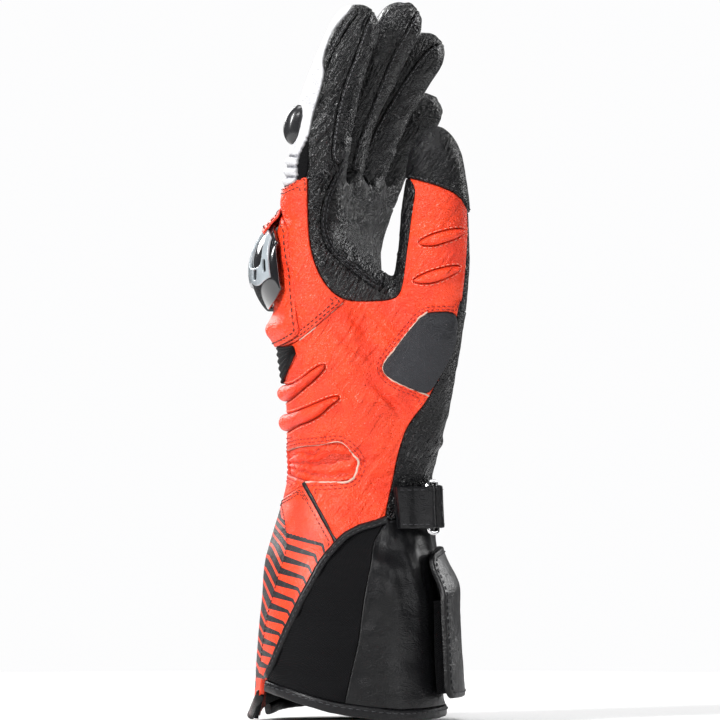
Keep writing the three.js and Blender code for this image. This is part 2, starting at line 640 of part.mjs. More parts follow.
// The moulded frame over the guard, with a window above each gap between the knuckles.
function knuckleFrame() {
  const windows = 3;
  const top = (u, v) => guardLift(u, v) + KNUCKLE_GUARD_WALL + 2 * SEAM;
  const inset = (t, margin) => margin + t * (1 - 2 * margin);
  const frame = patch(bodyPoint, (u, v) => guardPlace(inset(u, 0.06), inset(v, 0.05)),
    (u, v) => [top(inset(u, 0.06), inset(v, 0.05)), top(inset(u, 0.06), inset(v, 0.05)) + KNUCKLE_FRAME_WALL],
    9, 5);
  const holes = Array.from({ length: windows }, (_, i) => {
    const [from, to] = [0.1 + (0.8 * (i + 0.16)) / windows, 0.1 + (0.8 * (i + 0.84)) / windows];
    return patch(bodyPoint, (u, v) => guardPlace(from + (to - from) * u, 0.45 + 0.42 * v),
      () => [0, 3 * KNUCKLE_GUARD_HEIGHT], 1, 2);
  });
  return mainBody(frame.subtract(union(holes)));
}

const GUARD_AT = 0.39; // along the finger's tube

function fingerGuard(finger) {
  const half = FINGER_GUARD_LENGTH / 2 / finger.length;
  const place = (u, v) => [GUARD_AT + (2 * v - 1) * half * (0.35 + 0.65 * dome(u)), turns(-38, 38)(u)];
  const lifts = (u, v) => [REST, REST + 0.4 + FINGER_GUARD_HEIGHT * dome(u) * dome(v)];
  return patch(finger.surface, place, lifts, 5, 5);
}

// The stretch band below the knuckles. It narrows upwards to its ends.
function stretchBand() {
  const top = heightOf(2.445);
  const width = (u) => BAND_WIDTH * (1 - 0.85 * (2 * u - 1) ** 2);
  return patch(bodyPoint, (u, v) => [top - (1 - v) * width(u), turns(-50, 50)(u)],
    () => [REST, REST + BAND_THICKNESS], 8, 2);
}

// The strap, which runs through the metal loop, and the short tab that holds the loop
const STRAP_HEIGHT = heightOf(1.5);
const LOOP_TURN = 149 * DEGREE;
const BEND_RADIUS = LOOP_WIRE / 2 + 1.5 * SEAM + STRAP_THICKNESS / 2;
const UNDER = 2 * SEAM + STRAP_THICKNESS / 2; // the lower layer's lift
const OVER = UNDER + STRAP_THICKNESS + SEAM; // the upper layer's lift where they lie together
const LOOP_LIFT = UNDER + BEND_RADIUS;

// Both edges of the strap rest on the wrist, which is hollow between them.
function strapSpot(turn, lift) {
  const low = bodyPoint(STRAP_HEIGHT - STRAP_WIDTH / 2, turn, lift);
  const high = bodyPoint(STRAP_HEIGHT + STRAP_WIDTH / 2, turn, lift);
  return { point: low.clone().lerp(high, 0.5), widthwise: high.sub(low).normalize() };
}

const loopMiddle = strapSpot(LOOP_TURN, LOOP_LIFT);
const loopAcross = bodyPoint(STRAP_HEIGHT, LOOP_TURN + 0.01).sub(bodyPoint(STRAP_HEIGHT, LOOP_TURN)).normalize();
const loopOut = new THREE.Vector3().crossVectors(loopAcross, loopMiddle.widthwise).normalize();

// The turns of a layer, in degrees, from one to another in steps that follow the wrist closely.
function layer(from, to) {
  const steps = Math.ceil(Math.abs(to - from) / 10);
  return Array.from({ length: steps + 1 }, (_, i) => from + ((to - from) * i) / steps);
}

// The route of a band that comes in under the loop's bar, bends around it and lies back on itself. side is -1
// for the bar next to the thumb and 1 for the other. The turns, in degrees, go from the bar to each end.
function hairpin(side, underTurns, overTurns) {
  const bar = loopMiddle.point.clone().addScaledVector(loopAcross, (side * (LOOP_OPENING + LOOP_WIRE)) / 2);
  const bend = [-90, -60, -30, 0, 30, 60, 90].map((degrees) => ({
    point: bar.clone()
      .addScaledVector(loopAcross, -side * BEND_RADIUS * Math.cos(degrees * DEGREE))
      .addScaledVector(loopOut, BEND_RADIUS * Math.sin(degrees * DEGREE)),
    widthwise: loopMiddle.widthwise,
  }));
  const under = underTurns.toReversed().map((turn) => strapSpot(turn * DEGREE, UNDER));
  const over = overTurns.map((turn, i) => strapSpot(turn * DEGREE, i === 0 ? OVER + 1.2 : OVER));
  return band([...under, ...bend, ...over], STRAP_THICKNESS, STRAP_WIDTH);
}

function strapLoop() {
  const [a, b] = [(LOOP_OPENING + LOOP_WIRE) / 2, (STRAP_WIDTH + LOOP_WIRE) / 2 + 3 * SEAM];
  const straight = b - 0.45 * a; // half of each long bar's straight length
  const quarter = [[1, 0.35 * straight], [1, 0.9 * straight], [0.9, b - 0.12 * a], [0.45, b]];
  const half = [...quarter, ...quarter.toReversed().map(([u, v]) => [-u, v])];
  const corners = [...half, ...half.map(([u, v]) => [-u, -v])];
  const points = corners.map(([u, v]) => loopMiddle.point.clone()
    .addScaledVector(loopAcross, u * a)
    .addScaledVector(loopMiddle.widthwise, v));
  return cord(points, LOOP_WIRE, true);
}

// The closure flap stands off the cuff's palm on its hook pad, and is sewn on at its top.
const FLAP_LOW = heightOf(0.13);

function flapLift(v) {
  return REST + HOOK_PAD_THICKNESS * THREE.MathUtils.smoothstep(1 - v, 0.02, 0.3) + SEAM;
}

function closureFlap() {
  const place = (u, v) => [FLAP_LOW + v * FLAP_HEIGHT * (0.94 + 0.06 * dome(u)), turns(146, 222)(u)];
  return patch(bodyPoint, place, (u, v) => [flapLift(v), flapLift(v) + FLAP_THICKNESS], 8, 7);
}

function hookPad() {
  const share = 0.62; // of the flap's height
  const place = (u, v) => [FLAP_LOW + 2 + v * share * FLAP_HEIGHT, turns(152, 208)(u)];
  const flapShare = (v) => (v * share * FLAP_HEIGHT + 2) / FLAP_HEIGHT;
  return patch(bodyPoint, place, (u, v) => [3 * SEAM, flapLift(flapShare(v)) - 3 * SEAM], 5, 5);
}

// Edging

// A point on the body by its side-view place. side is 1 for the thumb's side and -1 for the other.
function sidePoint(across, level, side, lift) {
  const turn = Math.acos(-signedPower(THREE.MathUtils.clamp(across, -1, 1), BODY_SQUARENESS / 2));
  return bodyPoint(heightOf(level), side * turn, lift);
}

function hem() {
  const ends = 0.88;
  const shares = [-ends, -0.75, -0.5, -0.2, 0.15, 0.5, 0.8, 0.95, 1];
  const drop = (HEM / 2 + 2 * SEAM) / CUFF_LENGTH;
  const along = (side) => shares.map((at) => sidePoint(at, hemLevel(at, side) - drop, side, -WALL / 2));
  return cord([...along(1), ...along(-1).reverse().slice(1)], HEM);
}

function piping(side) {
  const top = side > 0 ? [[0.2, 1.235], [0, 1.16], [-0.16, 1.04]] : [[-0.16, 1.1]];
  const line = [...top, ...DIAGONAL, [-0.975, 0.05]];
  const lift = REST + PIPING / 2;
  return cord(line.map(([across, level]) => sidePoint(across, level, side, lift)), PIPING);
}

// Colours
const leather = (colour) => new THREE.MeshStandardMaterial({ color: colour, roughness: 0.55 });
const ORANGE = leather(0xff3d1f);
const BLACK = leather(0x17171a);
const GREY = leather(0x3a3b3d);
const WHITE = leather(0xe6e6e4);
const TEXTILE = new THREE.MeshStandardMaterial({ color: 0x101013, roughness: 0.9 });
const CARBON = new THREE.MeshStandardMaterial({ color: 0x1c1d1f, roughness: 0.25 });
const MOULDED = new THREE.MeshStandardMaterial({ color: 0xaeb4b9, roughness: 0.3, metalness: 0.3 });
const STEEL = new THREE.MeshStandardMaterial({ color: 0xc8c8c8, roughness: 0.2, metalness: 1 });

const glove = new THREE.Group();

function addPiece(name, solid, material) {
  const mesh = solid.getMesh();
  const geometry = new THREE.BufferGeometry();
  geometry.setAttribute("position", new THREE.BufferAttribute(new Float32Array(mesh.vertProperties), 3));
  geometry.setIndex(new THREE.BufferAttribute(new Uint32Array(mesh.triVerts), 1));
  geometry.computeVertexNormals();
  const piece = new THREE.Mesh(geometry, material);
  piece.name = name;
  glove.add(piece);
}

addPiece("cuff_back_panel", cuffBack, ORANGE);
addPiece("cuff_side_panel", cuffSide, TEXTILE);
addPiece("cuff_palm_panel", cuffPalm, BLACK);
addPiece("cuff_hem", hem(), BLACK);
addPiece("cuff_piping_thumb_side", piping(1), BLACK);
addPiece("cuff_piping_outer_side", piping(-1), BLACK);
addPiece("closure_flap", closureFlap(), BLACK);
addPiece("closure_hook_pad", hookPad(), TEXTILE);
addPiece("strap_anchor", hairpin(-1, layer(138, 114), layer(136, 114)), BLACK);
addPiece("strap_loop", strapLoop(), STEEL);
addPiece("wrist_strap", hairpin(1, layer(162, 296), layer(163, 210)), BLACK);

addPiece("palm_panel", palm, BLACK);
addPiece("hand_back_panel", handBack, ORANGE);
addPiece("webbing_panel", webbing, BLACK);
addPiece("thumb_patch", thumbPatch, GREY);
addPiece("wrist_gather", gather(), ORANGE);
addPiece("wrist_bar_lower", wristBar(2.175, 0.09), ORANGE);
addPiece("wrist_bar_upper", wristBar(2.262, 0.107), ORANGE);
addPiece("stretch_band", stretchBand(), GREY);
addPiece("knuckle_surround", knuckleSurround(), ORANGE);
addPiece("knuckle_guard", knuckleGuard(), CARBON);
addPiece("knuckle_frame", knuckleFrame(), MOULDED);

FINGERS.forEach((finger, i) => {
  const { surface, outer, inner } = fingerTubes[i];
  const solid = above(outer().subtract(inner()), WEB_HEIGHT + SEAM);
  const outline = backOutline(surface, 0, finger.backEnd, finger.backShare);
  addPiece(`${finger.name}_finger`, mainBody(solid.subtract(prism(outline, -REACH, REACH, SEAM))), BLACK);
  addPiece(`${finger.name}_finger_back`, mainBody(solid.intersect(prism(outline, -REACH, REACH))), WHITE);
  if (finger.guarded) addPiece(`${finger.name}_finger_guard`, fingerGuard(fingerTubes[i]), CARBON);
});

const thumbTop = above(thumb.outer().subtract(thumb.inner()), CROTCH_HEIGHT + SEAM);
const capNormal = new THREE.Vector3(0.5, 0, 1).normalize();
const capOffset = capNormal.dot(thumb.surface(0.775, Math.PI / 2));
const thumbSleeve = thumbTop.trimByPlane(capNormal.clone().negate().toArray(), SEAM / 2 - capOffset);
const sideTurn = 22 * DEGREE;
const sideNormal = new THREE.Vector3(Math.sin(sideTurn), -Math.cos(sideTurn), 0);
const sideOffset = sideNormal.dot(thumb.surface(0.62, Math.PI / 2)) - 0.42 * THUMB_THICKNESS;
addPiece("thumb_cap", thumbTop.trimByPlane(capNormal.toArray(), capOffset + SEAM / 2), BLACK);
addPiece("thumb_back", mainBody(thumbSleeve.trimByPlane(sideNormal.toArray(), sideOffset + SEAM / 2)), ORANGE);
addPiece("thumb_front", mainBody(thumbSleeve.trimByPlane(sideNormal.clone().negate().toArray(),
  SEAM / 2 - sideOffset)), BLACK);
addPiece("thumb_bar_lower", thumbBar(0.575), ORANGE);
addPiece("thumb_bar_upper", thumbBar(0.67), ORANGE);

export default glove;
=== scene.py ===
# The looks of a motorcycle gauntlet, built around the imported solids.
# Lengths are in millimetres until a mesh is made, in the frame of the solids: +Z from the cuff to the
# fingertips, -X the back of the hand, -Y the thumb's side.
import math

import bpy
import numpy as np
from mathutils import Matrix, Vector
from mathutils.bvhtree import BVHTree
from mathutils.kdtree import KDTree


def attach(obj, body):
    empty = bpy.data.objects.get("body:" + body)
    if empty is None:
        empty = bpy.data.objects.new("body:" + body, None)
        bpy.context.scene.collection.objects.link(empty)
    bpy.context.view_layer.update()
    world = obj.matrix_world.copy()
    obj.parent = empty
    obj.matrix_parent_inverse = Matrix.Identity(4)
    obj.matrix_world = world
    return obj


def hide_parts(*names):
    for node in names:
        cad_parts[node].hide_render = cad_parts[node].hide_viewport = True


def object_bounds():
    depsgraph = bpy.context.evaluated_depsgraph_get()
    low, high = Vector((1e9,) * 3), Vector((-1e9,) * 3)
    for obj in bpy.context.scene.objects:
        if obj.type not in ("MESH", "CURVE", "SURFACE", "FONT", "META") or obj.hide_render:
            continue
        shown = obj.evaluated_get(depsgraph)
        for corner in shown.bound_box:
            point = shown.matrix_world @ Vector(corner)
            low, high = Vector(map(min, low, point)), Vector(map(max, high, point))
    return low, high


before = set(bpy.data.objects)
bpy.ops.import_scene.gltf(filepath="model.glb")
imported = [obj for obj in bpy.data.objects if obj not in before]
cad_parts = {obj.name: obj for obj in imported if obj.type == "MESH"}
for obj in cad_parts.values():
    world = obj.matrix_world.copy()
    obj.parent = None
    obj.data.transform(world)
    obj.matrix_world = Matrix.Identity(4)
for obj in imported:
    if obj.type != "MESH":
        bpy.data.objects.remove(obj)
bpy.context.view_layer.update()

MM = 0.001
SIDE_UNIT = 0.45  # millimetres for each unit of the side view's outlines
SIDE_MIDDLE = 360
SIDE_BOTTOM = 719
CELL = 1.2
CORNERS = [(a, b, c) for a in (0, 1) for b in (0, 1) for c in (0, 1)]


def camera():
    """A long lens level with the glove, looking at the thumb's side."""
    distance, width, middle = 4000, 720 * SIDE_UNIT, 161.6
    data = bpy.data.cameras.new("camera")
    data.sensor_width = 36
    data.lens = 36 * distance / width
    data.clip_end = 40
    made = bpy.data.objects.new("camera", data)
    made.location = (0, -distance * MM, middle * MM)
    made.rotation_euler = (math.radians(90), 0, 0)
    bpy.context.scene.collection.objects.link(made)
    bpy.context.scene.camera = made


# The form of the glove, as in the solids

CUFF_LENGTH, WRIST_LENGTH, PALM_LENGTH = 83, 25.5, 131.5
CUFF_DEPTH, CUFF_BREADTH = 87, 114
WRIST_DEPTH, WRIST_BREADTH = 64.6, 71
PALM_DEPTH, PALM_BREADTH = 41, 97
FINGER_THICKNESS, FINGER_BREADTH = 26.5, 22.3
THUMB_LENGTH, THUMB_WIDTH, THUMB_THICKNESS = 156, 34, 28
WEB_THICKNESS = 27
SQUARENESS = 2.5


def height_of(level):
    """Level 0 is the cuff's mouth, 1 the strap, 2 the wrist and 3 the finger webs."""
    level = np.asarray(level, float)
    cuff = level * CUFF_LENGTH
    wrist = CUFF_LENGTH + (level - 1) * WRIST_LENGTH
    palm = CUFF_LENGTH + WRIST_LENGTH + (level - 2) * PALM_LENGTH
    return np.where(level <= 1, cuff, np.where(level <= 2, wrist, palm))


WEB_HEIGHT = float(height_of(3))

# level, depth, breadth, shift, skew, arch
BODY_TABLE = np.array([
    [0, 1.0, 1.0, -0.054, 0, 0],
    [0.32, 0.956, 0.98, -0.056, 0, 0],
    [0.645, 0.92, 0.93, -0.047, 0, 0],
    [0.86, 0.89, 0.845, -0.045, 0, 0],
    [1.0, 0.834, 0.74, -0.033, 0, 0],
    [1.52, 1.06, 1.04, -0.014, 0, 0],
    [2.0, 1.0, 1.0, 0.0, 0, 0],
    [2.095, 1.64, 0.785, 0.024, 0, 0],
    [2.2, 1.61, 0.856, 0.012, 0.024, 0],
    [2.3, 1.49, 0.928, -0.037, 0.05, 0.024],
    [2.44, 1.317, 0.98, -0.146, 0.1, 0.05],
    [2.57, 1.146, 1.0, -0.22, 0.146, 0.073],
    [2.7, 1.0, 1.0, -0.256, 0.195, 0.085],
    [2.81, 0.854, 0.99, -0.258, 0.29, 0.085],
    [2.9, 0.77, 0.97, -0.2, 0.36, 0.08],
    [3.0, 0.73, 0.95, -0.135, 0.43, 0.073],
])


def cubic(knots, values, at):
    """A smooth curve through values at the knots."""
    knots, values, at = (np.asarray(x, float) for x in (knots, values, at))
    last = len(knots) - 1
    below, above = np.maximum(np.arange(last + 1) - 1, 0), np.minimum(np.arange(last + 1) + 1, last)
    slopes = (values[above] - values[below]) / (knots[above] - knots[below])
    i = np.clip(np.searchsorted(knots, at, side="left") - 1, 0, last - 1)
    span = knots[i + 1] - knots[i]
    t = np.clip((at - knots[i]) / span, 0, 1)
    p, q, m, n = values[i], values[i + 1], slopes[i] * span, slopes[i + 1] * span
    return p + t * (m + t * (3 * (q - p) - 2 * m - n + t * (2 * (p - q) + m + n)))


BODY_AT = height_of(BODY_TABLE[:, 0])
ZONE = [(CUFF_DEPTH, CUFF_BREADTH) if r[0] <= 1 else (WRIST_DEPTH, WRIST_BREADTH) if r[0] <= 2
        else (PALM_DEPTH, PALM_BREADTH) for r in BODY_TABLE]
ZONE_DEPTH, ZONE_BREADTH = (np.array(c, float) for c in zip(*ZONE))
BODY_COLUMNS = {
    "half_depth": BODY_TABLE[:, 1] * ZONE_DEPTH / 2,
    "half_breadth": BODY_TABLE[:, 2] * ZONE_BREADTH / 2,
    "middle": BODY_TABLE[:, 3] * ZONE_DEPTH,
    "skew": BODY_TABLE[:, 4] * ZONE_DEPTH,
    "arch": BODY_TABLE[:, 5] * ZONE_DEPTH,
}


def body(name, z):
    return cubic(BODY_AT, BODY_COLUMNS[name], z)


def signed_power(value, power):
    return np.sign(value) * np.abs(value) ** power


def body_point(z, turn, lift=0.0):
    """A point of the body's surface. turn is 0 at the back of the hand and a quarter at the thumb's side."""
    z, turn = np.broadcast_arrays(np.asarray(z, float), np.asarray(turn, float))
    power = 2 / SQUARENESS
    half = body("half_breadth", z)
    y = -(half + lift) * signed_power(np.sin(turn), power)
    x = -(body("half_depth", z) + lift) * signed_power(np.cos(turn), power)
    across = np.clip(y / half, -1, 1)
    x = x + body("middle", z) + body("skew", z) * across - body("arch", z) * (1 - across ** 2)
    return np.stack([x, y, z], -1)


def body_middle(z, across):
    x = body("middle", z) + body("skew", z) * across - body("arch", z) * (1 - across ** 2)
    return np.stack([x, across * body("half_breadth", z), np.asarray(z, float) + 0 * x], -1)


def body_distance(p):
    """About how far points lie outside the body."""
    z = np.clip(p[:, 2], -20, WEB_HEIGHT)
    half_breadth, half_depth = body("half_breadth", z), body("half_depth", z)
    across = np.clip(p[:, 1] / half_breadth, -1, 1)
    dx = p[:, 0] - body("middle", z) - body("skew", z) * across + body("arch", z) * (1 - across ** 2)
    size = (np.abs(dx / half_depth) ** SQUARENESS + np.abs(p[:, 1] / half_breadth) ** SQUARENESS)
    size = np.maximum(size, 1e-9) ** (1 / SQUARENESS)
    side = (size - 1) * np.hypot(dx, p[:, 1]) / size
    top = p[:, 2] - WEB_HEIGHT
    return np.where((side > 0) & (top > 0), np.hypot(side, top), np.maximum(side, top))


# Fingers and thumb

FINGER_TAPER = np.array([[0, 1.0, 1.0], [0.36, 0.95, 1.0], [0.68, 0.86, 0.97], [1, 0.72, 0.86]])
THUMB_TAPER = np.array([[0, 0.7, 0.85], [0.15, 0.84, 1.0], [0.35, 0.97, 1.04], [0.5, 1.0, 1.0],
                        [0.66, 0.92, 0.95], [0.8, 0.83, 0.87], [1, 0.50, 0.62]])
WEB_TAPER = np.array([[0, 0.6, 0.7], [0.3, 0.95, 1.0], [1, 0.9, 1.0]])


def unit(vectors):
    """Vectors scaled to length 1."""
    return vectors / np.maximum(np.linalg.norm(vectors, axis=1), 1e-12)[:, None]


def run_along(points):
    """The length of a line up to each of its points."""
    return np.concatenate([[0], np.cumsum(np.linalg.norm(np.diff(points, axis=0), axis=1))])


def interpolated(at, knots, vectors):
    """Vectors between those at the knots."""
    return np.stack([np.interp(at, knots, vectors[:, k]) for k in range(3)], -1)


def eased(points, times):
    """A line with its inner points moved towards their neighbours."""
    points = points.copy()
    for _ in range(times):
        points[1:-1] = (points[:-2] + 2 * points[1:-1] + points[2:]) / 4
    return points


def centripetal(points, steps=200):
    """A smooth line through points, resampled evenly: (positions, length)."""
    points = np.asarray(points, float)
    ends = [2 * points[0] - points[1], 2 * points[-1] - points[-2]]
    full = np.vstack([ends[0], points, ends[1]])
    dense = []
    for i in range(1, len(full) - 2):
        p0, p1, p2, p3 = full[i - 1:i + 3]
        t0 = 0.0
        t1 = t0 + math.sqrt(np.linalg.norm(p1 - p0))
        t2 = t1 + math.sqrt(np.linalg.norm(p2 - p1))
        t3 = t2 + math.sqrt(np.linalg.norm(p3 - p2))
        t = np.linspace(t1, t2, 24, endpoint=False)[:, None]
        a1 = (t1 - t) / (t1 - t0) * p0 + (t - t0) / (t1 - t0) * p1
        a2 = (t2 - t) / (t2 - t1) * p1 + (t - t1) / (t2 - t1) * p2
        a3 = (t3 - t) / (t3 - t2) * p2 + (t - t2) / (t3 - t2) * p3
        b1 = (t2 - t) / (t2 - t0) * a1 + (t - t0) / (t2 - t0) * a2
        b2 = (t3 - t) / (t3 - t1) * a2 + (t - t1) / (t3 - t1) * a3
        dense.append((t2 - t) / (t2 - t1) * b1 + (t - t1) / (t2 - t1) * b2)
    dense = np.vstack([*dense, full[-2]])
    run = run_along(dense)
    at = np.linspace(0, run[-1], steps + 1)
    return interpolated(at, run, dense), run[-1]


class Tube:
    """A tube with oval sections along a bent centre line. Its far end is round, and so is its near one."""

    SAMPLES = 60
    BATCH = 100000
    ROOT_ROUNDING = 8.0

    def __init__(self, points, thickness, breadth, taper, tip=0.44):
        self.centres, self.length = centripetal(points, self.SAMPLES)
        self.thickness, self.breadth, self.taper = thickness, breadth, taper
        self.tip = tip * thickness
        self.along = unit(np.gradient(self.centres, axis=0))
        back = np.array([-1.0, 0, 0]) - self.along * (self.along @ [-1, 0, 0])[:, None]
        self.back = unit(back)
        self.side = np.cross(self.along, self.back)

    def radii(self, at):
        at = np.clip(at, 0, 1)
        return (cubic(self.taper[:, 0], self.taper[:, 1], at) * self.thickness / 2,
                cubic(self.taper[:, 0], self.taper[:, 2], at) * self.breadth / 2)

    def local(self, p):
        """The share of the length, and the offsets to the back, to the side and past either end."""
        nearest = np.empty(len(p), int)
        for start in range(0, len(p), self.BATCH):
            q = p[start:start + self.BATCH]
            nearest[start:start + self.BATCH] = np.argmin(
                (q ** 2).sum(1)[:, None] - 2 * q @ self.centres.T + (self.centres ** 2).sum(1), axis=1)
        c, t = self.centres[nearest], self.along[nearest]
        run = ((p - c) * t).sum(1)
        position = nearest * self.length / self.SAMPLES + run
        at = position / self.length
        low = np.clip(np.floor(at * self.SAMPLES).astype(int), 0, self.SAMPLES - 1)
        share = np.clip(at * self.SAMPLES - low, 0, 1)[:, None]
        mix = lambda values: values[low] * (1 - share) + values[low + 1] * share
        offset = p - mix(self.centres)
        beyond = np.maximum(position - (self.length - self.tip), 0) / self.tip
        before = np.maximum(-position, 0) / self.ROOT_ROUNDING
        return at, (offset * mix(self.back)).sum(1), (offset * mix(self.side)).sum(1), beyond + before

    def distance(self, p):
        at, a, b, end = self.local(p)
        ra, rb = self.radii(at)
        size = np.sqrt((a / ra) ** 2 + (b / rb) ** 2 + end ** 2)
        size = np.maximum(size, 1e-6)
        return (size - 1) * np.sqrt(a ** 2 + b ** 2 + (end * self.tip) ** 2 + 1e-9) / size

    def point(self, at, turn, lift=0.0):
        """A point of the surface. turn runs from the back over the thumb's side."""
        at, turn = np.broadcast_arrays(np.asarray(at, float), np.asarray(turn, float))
        shape = at.shape
        at, turn = at.ravel(), turn.ravel()
        lift = np.broadcast_to(lift, shape).ravel()
        grid = np.linspace(0, 1, self.SAMPLES + 1)
        mix = lambda values: interpolated(at, grid, values)
        ra, rb = self.radii(at)
        past = np.clip((at * self.length - (self.length - self.tip)) / self.tip, 0, 1)
        round_ = np.sqrt(np.maximum(1 - past ** 2, 0))
        out = mix(self.centres) + mix(self.back) * (round_ * (ra + lift) * np.cos(turn))[:, None]
        out = out + mix(self.side) * (round_ * (rb + lift) * np.sin(turn))[:, None]
        return out.reshape(*shape, 3)


def lean(degrees, splay):
    a, b = math.radians(degrees), math.radians(splay)
    v = np.array([math.sin(a), math.sin(b), math.cos(a)])
    return v / np.linalg.norm(v)


# name, length, across, size, splay, bones, leans
FINGERS = [
    ("index", 83, -0.745, 1.0, -1.5, (0.33, 0.32, 0.35), (9, 16, 22)),
    ("middle", 89.7, -0.247, 1.0, -0.5, (0.33, 0.337, 0.333), (13, 27.5, 31)),
    ("ring", 78.6, 0.248, 0.985, 0.6, (0.4, 0.341, 0.259), (23, 32, 37)),
    ("little", 50, 0.722, 0.9, 2.5, (0.347, 0.335, 0.318), (30, 36, 38.5)),
]
ROOT_DEPTH = 10


def finger_tube(row):
    _, length, across, size, splay, bones, leans = row
    root = body_middle(WEB_HEIGHT, across)
    points = [root - lean(leans[0], splay) * ROOT_DEPTH, root]
    for share, angle in zip(bones, leans):
        points.append(points[-1] + lean(angle, splay) * share * length)
    return Tube(points, FINGER_THICKNESS * size, FINGER_BREADTH * size, FINGER_TAPER)


TUBES = {row[0]: finger_tube(row) for row in FINGERS}

THUMB_BONES = [(0.12, 10.5, -19), (0.235, 6, -17), (0.235, 7.5, -14), (0.14, 2.5, -11), (0.27, 0.5, -6)]
thumb_points = [body_middle(float(height_of(2.04)), -0.42)]
thumb_points[0] = thumb_points[0] + [0.62 * float(body("half_depth", height_of(2.04))), 0, 0]
for share, angle, out in THUMB_BONES:
    thumb_points.append(thumb_points[-1] + lean(angle, out) * share * THUMB_LENGTH)
THUMB = Tube(thumb_points, THUMB_WIDTH, THUMB_THICKNESS, THUMB_TAPER)

# level, across, forward
WEB_LINE = [(2.94, -0.62, -0.05), (2.8, -0.62, 0.12), (2.69, -0.63, 0.45), (2.58, -0.66, 1.02),
            (2.44, -0.66, 0.98), (2.28, -0.62, 0.72)]
web_points = []
for level, across, forward in WEB_LINE:
    z = float(height_of(level))
    web_points.append(body_middle(z, across) + [forward * float(body("half_depth", z)), 0, 0])
WEB = Tube(web_points, WEB_THICKNESS, WEB_THICKNESS, WEB_TAPER, tip=0.3)


def blended(a, b, width):
    """The union of two forms with a fillet of about that width."""
    h = np.maximum(width - np.abs(a - b), 0) / width
    return np.minimum(a, b) - h * h * width / 4


def parts_distance(p):
    """Distances to the body, the thumb, the web and the fingers, each far away where it isn't near."""
    far_away = 30.0
    found = {"body": np.full(len(p), far_away)}
    low = p[:, 2] < WEB_HEIGHT + far_away
    found["body"][low] = body_distance(p[low])
    for name, tube in [("thumb", THUMB), ("web", WEB), *TUBES.items()]:
        d = np.full(len(p), far_away)
        lo, hi = tube.centres.min(0) - 24, tube.centres.max(0) + 24
        inside = ((p >= lo) & (p <= hi)).all(1)
        if inside.any():
            d[inside] = tube.distance(p[inside])
        found[name] = d
    return found


FINGER_FILLET, WEB_FILLET, THUMB_FILLET = 5.0, 7.0, 5.0


def form(p):
    """The signed distance to the whole glove's outside."""
    d = parts_distance(p)
    fingers = np.minimum.reduce([d[row[0]] for row in FINGERS])
    hand = blended(d["body"], fingers, FINGER_FILLET)
    hand = blended(hand, d["web"], WEB_FILLET)
    return blended(hand, d["thumb"], THUMB_FILLET)


# Skins: triangle meshes with values at their vertices


class Skin:
    def __init__(self, points, triangles, values=None):
        self.points, self.triangles, self.values = points, triangles, dict(values or {})

    def picked(self, mask):
        used, index = np.unique(self.triangles[mask], return_inverse=True)
        values = {k: v[used] for k, v in self.values.items()}
        return Skin(self.points[used], index.reshape(-1, 3), values)


def surface_net(function, low, high, cell):
    """The skin of function = 0 as a Skin, with its vertices moved onto it."""
    coarse = 4
    counts = np.ceil((np.array(high) - low) / (cell * coarse)).astype(int)
    axes = [low[k] + np.arange(counts[k] + 1) * cell * coarse for k in range(3)]
    mesh = np.stack(np.meshgrid(*axes, indexing="ij"), -1)
    rough = function(mesh.reshape(-1, 3)).reshape(mesh.shape[:3])
    close = np.abs(rough) < cell * coarse * 1.8
    block = np.zeros(counts, bool)
    for dx, dy, dz in CORNERS:
        block |= close[dx:dx + counts[0], dy:dy + counts[1], dz:dz + counts[2]]
    spread = lambda values: values.repeat(coarse, 0).repeat(coarse, 1).repeat(coarse, 2)
    values = spread(rough[:-1, :-1, :-1]).astype(np.float32)
    where = np.argwhere(spread(block))
    values[tuple(where.T)] = function(where * cell + low)
    inside = values < 0
    count = np.zeros(np.array(values.shape) - 1, np.int8)
    nx, ny, nz = count.shape
    for dx, dy, dz in CORNERS:
        count += inside[dx:nx + dx, dy:ny + dy, dz:nz + dz]
    active = (count > 0) & (count < 8)
    cells = np.argwhere(active)
    number = np.full(count.shape, -1)
    number[active] = np.arange(len(cells))
    total, hits = np.zeros((len(cells), 3)), np.zeros(len(cells))
    for s in CORNERS:
        for axis in range(3):
            if s[axis]:
                continue
            e = list(s)
            e[axis] = 1
            a = values[tuple((cells + s).T)]
            b = values[tuple((cells + e).T)]
            crossed = (a < 0) != (b < 0)
            share = np.where(crossed, a / np.where(crossed, a - b, 1), 0)
            spot = np.array(s) + share[:, None] * (np.array(e) - s)
            total += spot * crossed[:, None]
            hits += crossed
    points = (cells + total / hits[:, None]) * cell + low
    quads = []
    for axis in range(3):
        u, v = (axis + 1) % 3, (axis + 2) % 3
        a = np.take(inside, np.arange(inside.shape[axis] - 1), axis)
        b = np.take(inside, np.arange(1, inside.shape[axis]), axis)
        for sign in (True, False):
            edges = np.argwhere((a != b) & (a == sign))
            edges = edges[(edges[:, u] > 0) & (edges[:, v] > 0)
                          & (edges[:, u] < inside.shape[u] - 1) & (edges[:, v] < inside.shape[v] - 1)]
            ring = []
            for du, dv in ((-1, -1), (0, -1), (0, 0), (-1, 0)):
                at = edges.copy()
                at[:, u] += du
                at[:, v] += dv
                ring.append(number[tuple(at.T)])
            ring = np.stack(ring, 1)
            quads.append(ring if sign else ring[:, ::-1])
    quads = np.vstack(quads)
    first = np.linalg.norm(points[quads[:, 0]] - points[quads[:, 2]], axis=1)
    second = np.linalg.norm(points[quads[:, 1]] - points[quads[:, 3]], axis=1)
    swap = second < first
    quads[swap] = np.roll(quads[swap], 1, axis=1)
    triangles = np.vstack([quads[:, [0, 1, 2]], quads[:, [0, 2, 3]]])
    skin = Skin(points, triangles)
    for _ in range(3):
        skin.points = relaxed(skin, 0.5)
        skin.points, normals = projected(function, skin.points)
    skin.values["normal"] = normals
    return skin


